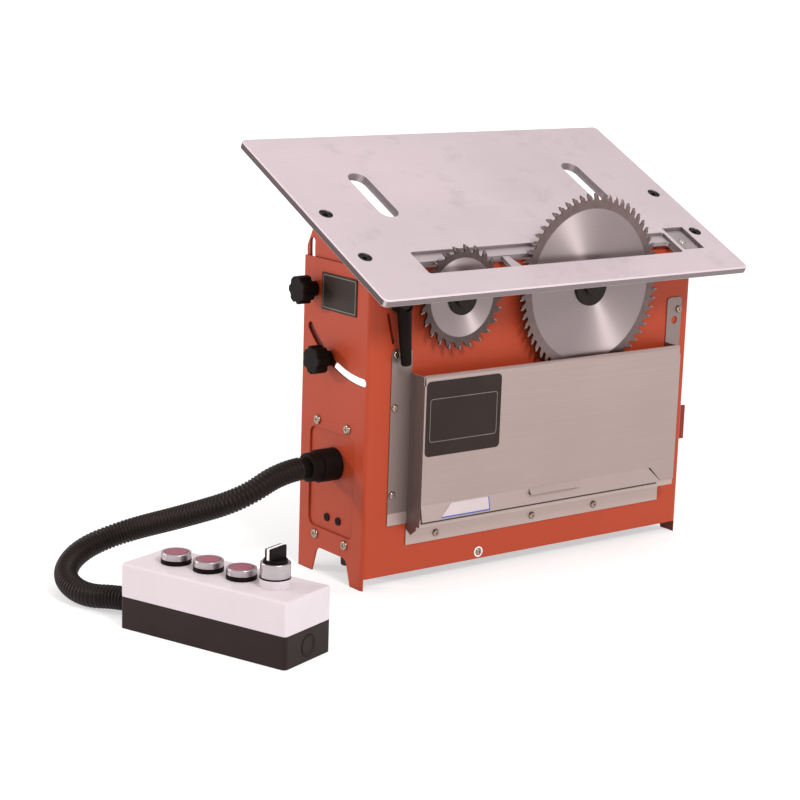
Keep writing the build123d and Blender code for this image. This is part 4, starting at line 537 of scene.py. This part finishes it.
def inset(box, by):
    left, right, low, high = box
    return left + by, right - by, low + by, high - by


def circle(x, y, radius, steps=40):
    return [(x + radius * math.cos(2 * math.pi * k / steps), y + radius * math.sin(2 * math.pi * k / steps))
            for k in range(steps)]


def block(x0, x1, y0, y1, z0, z1):
    """A block's eight corners: four of its lower face, then the four above."""
    return [(x, y, z) for z in (z0, z1) for x, y in rectangle(x0, x1, y0, y1)]


def bricks(blocks):
    """Closed blocks, each from its eight corners: four of one face, then the four opposite."""
    verts, faces = [], []
    for corners in blocks:
        k = len(verts)
        verts += corners
        faces += [(k + 3, k + 2, k + 1, k), (k + 4, k + 5, k + 6, k + 7)]
        faces += [(k + i, k + (i + 1) % 4, k + 4 + (i + 1) % 4, k + 4 + i) for i in range(4)]
    return verts, faces


def sheet(points, near, far):
    """A closed flat plate with the given outline: near and far place a point of it on its two faces."""
    n = len(points)
    verts = [near(*p) for p in points] + [far(*p) for p in points]
    faces = [tuple(range(n)), tuple(reversed(range(n, 2 * n)))]
    faces += [(i, n + i, n + (i + 1) % n, (i + 1) % n) for i in range(n)]
    return verts, faces


def band(outer, inner, near, far):
    """A closed flat frame between two outlines with as many points."""
    n = len(outer)
    verts = [near(*p) for p in outer] + [near(*p) for p in inner]
    verts += [far(*p) for p in outer] + [far(*p) for p in inner]
    faces = []
    for i in range(n):
        j = (i + 1) % n
        faces += [(i, j, n + j, n + i), (2 * n + j, 2 * n + i, 3 * n + i, 3 * n + j),
                  (j, i, 2 * n + i, 2 * n + j), (n + i, n + j, 3 * n + j, 3 * n + i)]
    return verts, faces


def skin(rings, around):
    """The faces between rings of points that follow each other."""
    faces = []
    for r in range(rings - 1):
        for k in range(around):
            a, b = r * around + k, r * around + (k + 1) % around
            faces.append((a, b, b + around, a + around))
    return faces


def ends(rings, around):
    """The two faces that close the first and the last ring."""
    count = rings * around
    return [tuple(reversed(range(around))), tuple(range(count - around, count))]


def at_depth(y):
    """Places a point of the front's X and Z at the depth y."""
    return lambda x, z: place(x, y, z)


def at_width(x):
    """Places a point of the side's Y and Z at the width x, seen from the left."""
    return lambda y, z: place(x, y, z)


# Carbide tips
TIP_LEAD, TIP_FOOT = 0.98, 0.94  # shares of a tooth's pitch
TIP_PROUD, TIP_LENGTH = 0.1, 4.4
TIP_HALF, TIP_HALF_NARROW = 1.5, 1.42
TIP_FRONT, TIP_BACK = 0.35, -1.2


def carbide_tips(name, hub_x, radius, teeth, body):
    """A tip brazed on each tooth's leading face, a little wider than the plate."""
    pitch = 2 * math.pi / teeth
    hub = Vector((hub_x, BLADE_Y, SPINDLE_Z))
    blocks = []
    for k in range(teeth):
        tip, foot = (k + TIP_LEAD) * pitch, (k + TIP_FOOT) * pitch
        top = hub + Vector((math.cos(tip), 0, math.sin(tip))) * (radius + TIP_PROUD)
        root = hub + Vector((math.cos(foot), 0, math.sin(foot))) * (radius - TIP_LENGTH)
        ahead = Vector((-math.sin(tip), 0, math.cos(tip)))
        half = TIP_HALF if k % 2 else TIP_HALF_NARROW
        rows = []
        for shift in (TIP_FRONT, TIP_BACK):
            rows += [point + ahead * shift + Vector((0, y, 0))
                     for point, y in ((root, -half), (top, -half), (top, half), (root, half))]
        blocks.append([place(*v) for v in rows])
    return piece(name, bricks(blocks), "carbide", body)


carbide_tips("main_carbide_tips", MAIN_X, MAIN_RADIUS, MAIN_TEETH, "main_saw")
carbide_tips("scoring_carbide_tips", SCORING_X, SCORING_RADIUS, SCORING_TEETH, "scoring_saw")


# Rubber buffer: radii and heights, lowest first
BUFFER_X, BUFFER_Y, BUFFER_AROUND = 20.0, 56.0, 32
BUFFER = [(4.6, 12.0), (5.9, 12.5), (6.4, 13.8), (6.8, 24.0), (9.0, 26.0), (9.0, 30.0)]


def base_buffer():
    """The rubber buffer under the base plate, seen through the left side's arch."""
    verts = [place(x, y, z) for radius, z in BUFFER
             for x, y in circle(BUFFER_X, BUFFER_Y, radius, BUFFER_AROUND)]
    faces = ends(len(BUFFER), BUFFER_AROUND) + skin(len(BUFFER), BUFFER_AROUND)
    piece("base_buffer", (verts, faces), "rubber", "frame")


# Door: left, right, low and high of what lies on it
DOOR_FACE, DOOR_BEND, DOOR_LOW, KICK = -25.5, 91.0, 74.0, 3.5
DOOR_PANEL, DOOR_PANEL_CORNER = (56.5, 156.0, 143.0, 222.5), 5.0
DOOR_BORDER, DOOR_BORDER_CORNERS, DOOR_LINE = (61.5, 151.0, 158.0, 204.0), (3.4, 2.8), 0.7
PANEL_THICK, LINE_THICK = 0.4, 0.1
# the dark strip under the door, painted shade for the gap between door and box
GAP_SHADE, GAP_SHADE_FRONT, GAP_SHADE_BACK = (56.0, 392.0, 70.9, 73.3), -24.7, -24.0
TAG_LEFT, TAG_RIGHT, TAG_LOW, TAG_HIGH, TAG_TOP_LEFT = 78.5, 145.0, 75.6, 89.8, 94.0
TAG_THICK, TAG_RIGHT_LINE, TAG_LOW_LINE, TAG_MITRE = 0.3, 1.1, 1.3, 1.4


def on_kick(lift):
    """Places a point on the door's leaning lower edge, at a height off its face."""
    return lambda x, z: place(x, DOOR_FACE - KICK * (DOOR_BEND - z) / (DOOR_BEND - DOOR_LOW) - lift, z)


def door_dressing():
    """The bare panel with its border line, the blank tag with its blue edge, and a dark strip at the foot
    that stands in as painted shade for the gap under the door.
    """
    panel_face = DOOR_FACE - PANEL_THICK
    panel = sheet(rounded(*DOOR_PANEL, DOOR_PANEL_CORNER), at_depth(panel_face), at_depth(DOOR_FACE))
    piece("door_blank_panel", panel, "plate", "door")
    outer = rounded(*DOOR_BORDER, DOOR_BORDER_CORNERS[0])
    inner = rounded(*inset(DOOR_BORDER, DOOR_LINE), DOOR_BORDER_CORNERS[1])
    border = band(outer, inner, at_depth(panel_face - LINE_THICK), at_depth(panel_face))
    piece("door_panel_border", border, "line", "door")
    tag = [(TAG_LEFT, TAG_LOW), (TAG_RIGHT, TAG_LOW), (TAG_RIGHT, TAG_HIGH), (TAG_TOP_LEFT, TAG_HIGH)]
    piece("door_blank_tag", sheet(tag, on_kick(TAG_THICK), on_kick(0)), "tag", "door")
    gap_shade = sheet(rectangle(*GAP_SHADE), at_depth(GAP_SHADE_FRONT), at_depth(GAP_SHADE_BACK))
    piece("door_stop_gap_shade", gap_shade, "gap_shade", "frame")
    line_right, line_low = TAG_RIGHT - TAG_RIGHT_LINE, TAG_LOW + TAG_LOW_LINE
    strip = [(TAG_LEFT, TAG_LOW), (TAG_RIGHT, TAG_LOW), (TAG_RIGHT, TAG_HIGH),
             (line_right, TAG_HIGH), (line_right, line_low), (TAG_LEFT + TAG_MITRE, line_low)]
    edge = sheet(strip, on_kick(TAG_THICK + LINE_THICK), on_kick(TAG_THICK))
    piece("door_tag_edge", edge, "blue", "door")


# Left side: front, back, low and high of the border line, and the two plugs
SIDE_BORDER, SIDE_BORDER_CORNERS = (24.6, 82.6, 288.5, 323.5), (1.6, 1.0)
SIDE_LINE, SIDE_LINE_THICK = 0.9, 0.15
PLUG_Y, PLUG_Z, PLUG_RADIUS, PLUG_BORE = (48.4, 68.6), 64.3, 4.3, 0.9
PLUG_OUT, PLUG_IN = 0.6, 2.0


def side_dressing():
    """The border line on the side's bare plate, and the plugs in the cable plate."""
    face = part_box("nameplate")[0][0] * 1000 + ORIGIN_X
    outer = rounded(*SIDE_BORDER, SIDE_BORDER_CORNERS[0])
    inner = rounded(*inset(SIDE_BORDER, SIDE_LINE), SIDE_BORDER_CORNERS[1])
    border = band(outer[::-1], inner[::-1], at_width(face - SIDE_LINE_THICK), at_width(face))
    piece("nameplate_border", border, "line", "frame")
    for k, y in enumerate(PLUG_Y):
        ring, bore = circle(y, PLUG_Z, PLUG_RADIUS), circle(y, PLUG_Z, PLUG_BORE)
        plug = band(ring[::-1], bore[::-1], at_width(PLUG_OUT), at_width(PLUG_IN))
        piece(f"cable_grommet_{k + 1}", plug, "black", "frame")


# Control box, along and across it
POINTER_LEFT, POINTER_RIGHT, POINTER_END, POINTER_THICK = 58.6, 61.4, 12.0, 0.3
GRIP_TOP, POINTER_FOOT = 104.2, 93.4
BOX_END, RING_Z, RING_OUTSIDE, RING_INSIDE, RING_THICK = 99.8, 15.9, 9.2, 8.4, 0.35


def control_dressing():
    """The selector's white pointer, over its grip and down one end, and the ring on the box's end."""
    x0, x1, near = POINTER_LEFT, POINTER_RIGHT, -POINTER_END - POINTER_THICK
    over = block(x0, x1, near, POINTER_END, GRIP_TOP, GRIP_TOP + POINTER_THICK)
    down = block(x0, x1, near, -POINTER_END, POINTER_FOOT, GRIP_TOP)
    pointer = bricks([[on_control(*v) for v in corners] for corners in (over, down)])
    piece("selector_pointer", pointer, "marker", "selector")
    ring = band(circle(0, RING_Z, RING_OUTSIDE), circle(0, RING_Z, RING_INSIDE),
                lambda y, z: on_control(BOX_END + RING_THICK, y, z), lambda y, z: on_control(BOX_END, y, z))
    piece("box_knockout_ring", ring, "base", "frame")


# Front: the washer's place and radii, and the corners of the strip behind the slit
WASHER_X, WASHER_Z, WASHER_RADIUS, WASHER_BORE, WASHER_THICK = 154.6, 20.4, 5.8, 4.2, 0.8
SLIT_STRIP, SLIT_STRIP_THICK = [(17.5, 296.0), (26.0, 257.0), (36.5, 257.0), (28.0, 296.0)], 1.0


def front_dressing():
    """The pale washer under the lower front screw, and the strip that closes the slit beside the lever."""
    washer = band(circle(WASHER_X, WASHER_Z, WASHER_RADIUS), circle(WASHER_X, WASHER_Z, WASHER_BORE),
                  at_depth(-WASHER_THICK), at_depth(0.0))
    piece("base_screw_washer", washer, "marker", "frame")
    strip = sheet(SLIT_STRIP, at_depth(SHEET), at_depth(SHEET + SLIT_STRIP_THICK))
    piece("slit_backing", strip, "orange", "frame")


base_buffer()
door_dressing()
side_dressing()
control_dressing()
front_dressing()


# Conduit: control points repeated from the CAD's route, in millimetres
ROUTE = [
    (-34.0, 58.5, 125.0), (-63.3, 58.5, 125.0), (-109.3, 62.5, 100.6), (-144.0, 117.9, 74.1),
    (-181.3, 179.1, 48.3), (-230.8, 186.2, 33.4), (-267.1, 155.7, 19.5), (-269.4, 107.5, 11.6),
    (-245.597, 73.674, 15.5), (-239.799, 57.481, 15.5),
]
PLAIN_END, RIB_PITCH, HOSE_AROUND = 0.006, 0.0042, 32
PLAIN_RADIUS = 11.0
# A rib's radii, by shares of its pitch
RIB = ((0.06, 11.1), (0.16, 11.4), (0.26, 11.95), (0.4, 12.2),
       (0.6, 12.2), (0.74, 11.95), (0.84, 11.4), (0.94, 11.1))


def spline_points(points):
    """Points along the smooth curve that the route's control points give."""
    curve = bpy.data.curves.new("route", "CURVE")
    curve.dimensions = "3D"
    curve.resolution_u = 48
    spline = curve.splines.new("NURBS")
    spline.points.add(len(points) - 1)
    for target, point in zip(spline.points, points):
        target.co = (*place(*point), 1.0)
    spline.order_u = 3
    spline.use_endpoint_u = True
    holder = bpy.data.objects.new("route", curve)
    scene.collection.objects.link(holder)
    bpy.context.view_layer.update()
    mesh = bpy.data.meshes.new_from_object(holder)
    line = [v.co.copy() for v in mesh.vertices]
    bpy.data.objects.remove(holder)
    bpy.data.meshes.remove(mesh)
    return line


def walk(line, distances):
    """Places and directions at distances along a line of points."""
    found, i, gone = [], 0, 0.0
    for d in distances:
        while i < len(line) - 2 and gone + (line[i + 1] - line[i]).length < d:
            gone += (line[i + 1] - line[i]).length
            i += 1
        step = line[i + 1] - line[i]
        found.append((line[i] + step * ((d - gone) / step.length), step.normalized()))
    return found


def conduit():
    """The corrugated hose along the route, with a short plain stretch at each end."""
    line = spline_points(ROUTE)
    total = sum((b - a).length for a, b in zip(line, line[1:]))
    ribs = int((total - 2 * PLAIN_END) / RIB_PITCH)
    start = (total - ribs * RIB_PITCH) / 2
    stations = [(0.0, PLAIN_RADIUS)]
    for k in range(ribs):
        stations += [(start + (k + share) * RIB_PITCH, radius) for share, radius in RIB]
    stations.append((total, PLAIN_RADIUS))
    verts = []
    for (where, heading), (_, radius) in zip(walk(line, [s for s, _ in stations]), stations):
        across = Vector(UP).cross(heading).normalized()
        up = heading.cross(across)
        for k in range(HOSE_AROUND):
            angle = 2 * math.pi * k / HOSE_AROUND
            verts.append(where + (across * math.cos(angle) + up * math.sin(angle)) * radius / 1000)
    faces = skin(len(stations), HOSE_AROUND) + ends(len(stations), HOSE_AROUND)
    hose = piece("corrugated_conduit", (verts, faces), "hose", "frame", smooth=True)
    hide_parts("conduit_hose")


conduit()


# Floor, light and camera, in metres
FLOOR_HALF = 40
FLOOR_NEAR, FLOOR_FAR = 0.8, 3.0
FLOOR_GLOW = [(0.0, 0.52), (1.0, 0.85)]
SKY = ((0.0, 1.24), (0.12, 0.98), (0.35, 0.88), (1.0, 0.8))  # heights and levels, from the horizon up
SKY_STRENGTH = 0.8


def floor():
    """A pale floor that glows more with its distance, so that it stays white beyond the lights."""
    mesh = bpy.data.meshes.new("floor")
    corners = rectangle(-FLOOR_HALF, FLOOR_HALF, -FLOOR_HALF, FLOOR_HALF)
    mesh.from_pydata([(x, y, 0) for x, y in corners], [], [(0, 1, 2, 3)])
    obj = bpy.data.objects.new("floor", mesh)
    scene.collection.objects.link(obj)
    p = Paint("pale_floor", (0.52, 0.52, 0.52), roughness=0.85, edge=0)
    p.set("Emission Color", (1.0, 1.0, 1.0, 1.0))
    away = p.measure("LENGTH", p.coords)
    share = p.math("DIVIDE", p.math("SUBTRACT", away, FLOOR_NEAR), FLOOR_FAR - FLOOR_NEAR)
    p.links.new(p.ramp(share, FLOOR_GLOW), p.shader.inputs["Emission Strength"])
    p.color(p.shades(p.noise(2.0), (0.5, 0.5, 0.5), (0.54, 0.54, 0.54)))
    mesh.materials.append(p.material)


def sky():
    """A plain studio, a little brighter at the horizon."""
    world = bpy.data.worlds.new("studio")
    world.use_nodes = True
    tree = world.node_tree
    split = tree.nodes.new("ShaderNodeSeparateXYZ")
    tree.links.new(tree.nodes.new("ShaderNodeTexCoord").outputs["Generated"], split.inputs["Vector"])
    ramp = tree.nodes.new("ShaderNodeValToRGB")
    elements = ramp.color_ramp.elements
    while len(elements) < len(SKY):
        elements.new(0.5)
    for element, (height, level) in zip(elements, SKY):
        element.position = height
        element.color = (level, level, level, 1.0)
    background = tree.nodes["Background"]
    tree.links.new(split.outputs["Z"], ramp.inputs["Fac"])
    tree.links.new(ramp.outputs["Color"], background.inputs["Color"])
    background.inputs["Strength"].default_value = SKY_STRENGTH
    scene.world = world


def area_light(name, where, target, size, power, color=(1.0, 0.98, 0.96)):
    lamp = bpy.data.lights.new(name, "AREA")
    lamp.shape = "RECTANGLE"
    lamp.size, lamp.size_y = size
    lamp.energy = power
    lamp.color = color
    obj = bpy.data.objects.new(name, lamp)
    obj.location = where
    obj.rotation_euler = (Vector(target) - Vector(where)).to_track_quat("-Z", "Y").to_euler()
    scene.collection.objects.link(obj)


CAMERA_AT = place(-1233.99, -1671.42, 664.45)
CAMERA_TURN = (37.35, 12.44, 1.91)  # degrees to the right, down and over
FOCAL_PIXELS, PHOTO_PIXELS, SENSOR = 2085.52, 800, 36.0


def camera():
    """The photograph's view."""
    yaw, pitch, roll = (math.radians(a) for a in CAMERA_TURN)
    ahead = Vector((math.sin(yaw) * math.cos(pitch), math.cos(yaw) * math.cos(pitch), -math.sin(pitch)))
    right = Vector((math.cos(yaw), -math.sin(yaw), 0))
    up = right.cross(ahead)
    side = right * math.cos(roll) + up * math.sin(roll)
    top = up * math.cos(roll) - right * math.sin(roll)
    data = bpy.data.cameras.new("camera")
    data.sensor_fit = "HORIZONTAL"
    data.sensor_width = SENSOR
    data.lens = FOCAL_PIXELS / PHOTO_PIXELS * SENSOR
    data.clip_start = 0.05
    obj = bpy.data.objects.new("camera", data)
    spot = CAMERA_AT
    obj.matrix_world = Matrix(((side.x, top.x, -ahead.x, spot.x), (side.y, top.y, -ahead.y, spot.y),
                               (side.z, top.z, -ahead.z, spot.z), (0, 0, 0, 1)))
    scene.collection.objects.link(obj)
    scene.camera = obj


MIDDLE = (0.05, 0, 0.2)
floor()
sky()
area_light("key", (-0.4, -2.6, 2.3), MIDDLE, (0.8, 0.8), 66)
area_light("top", (0.3, 0.2, 2.6), MIDDLE, (2.4, 1.6), 16)
area_light("side", (-1.9, 1.6, 0.9), (-0.1, 0.03, 0.25), (0.2, 0.2), 24, (1.0, 0.88, 0.84))
camera()
scene.view_settings.view_transform = "Standard"
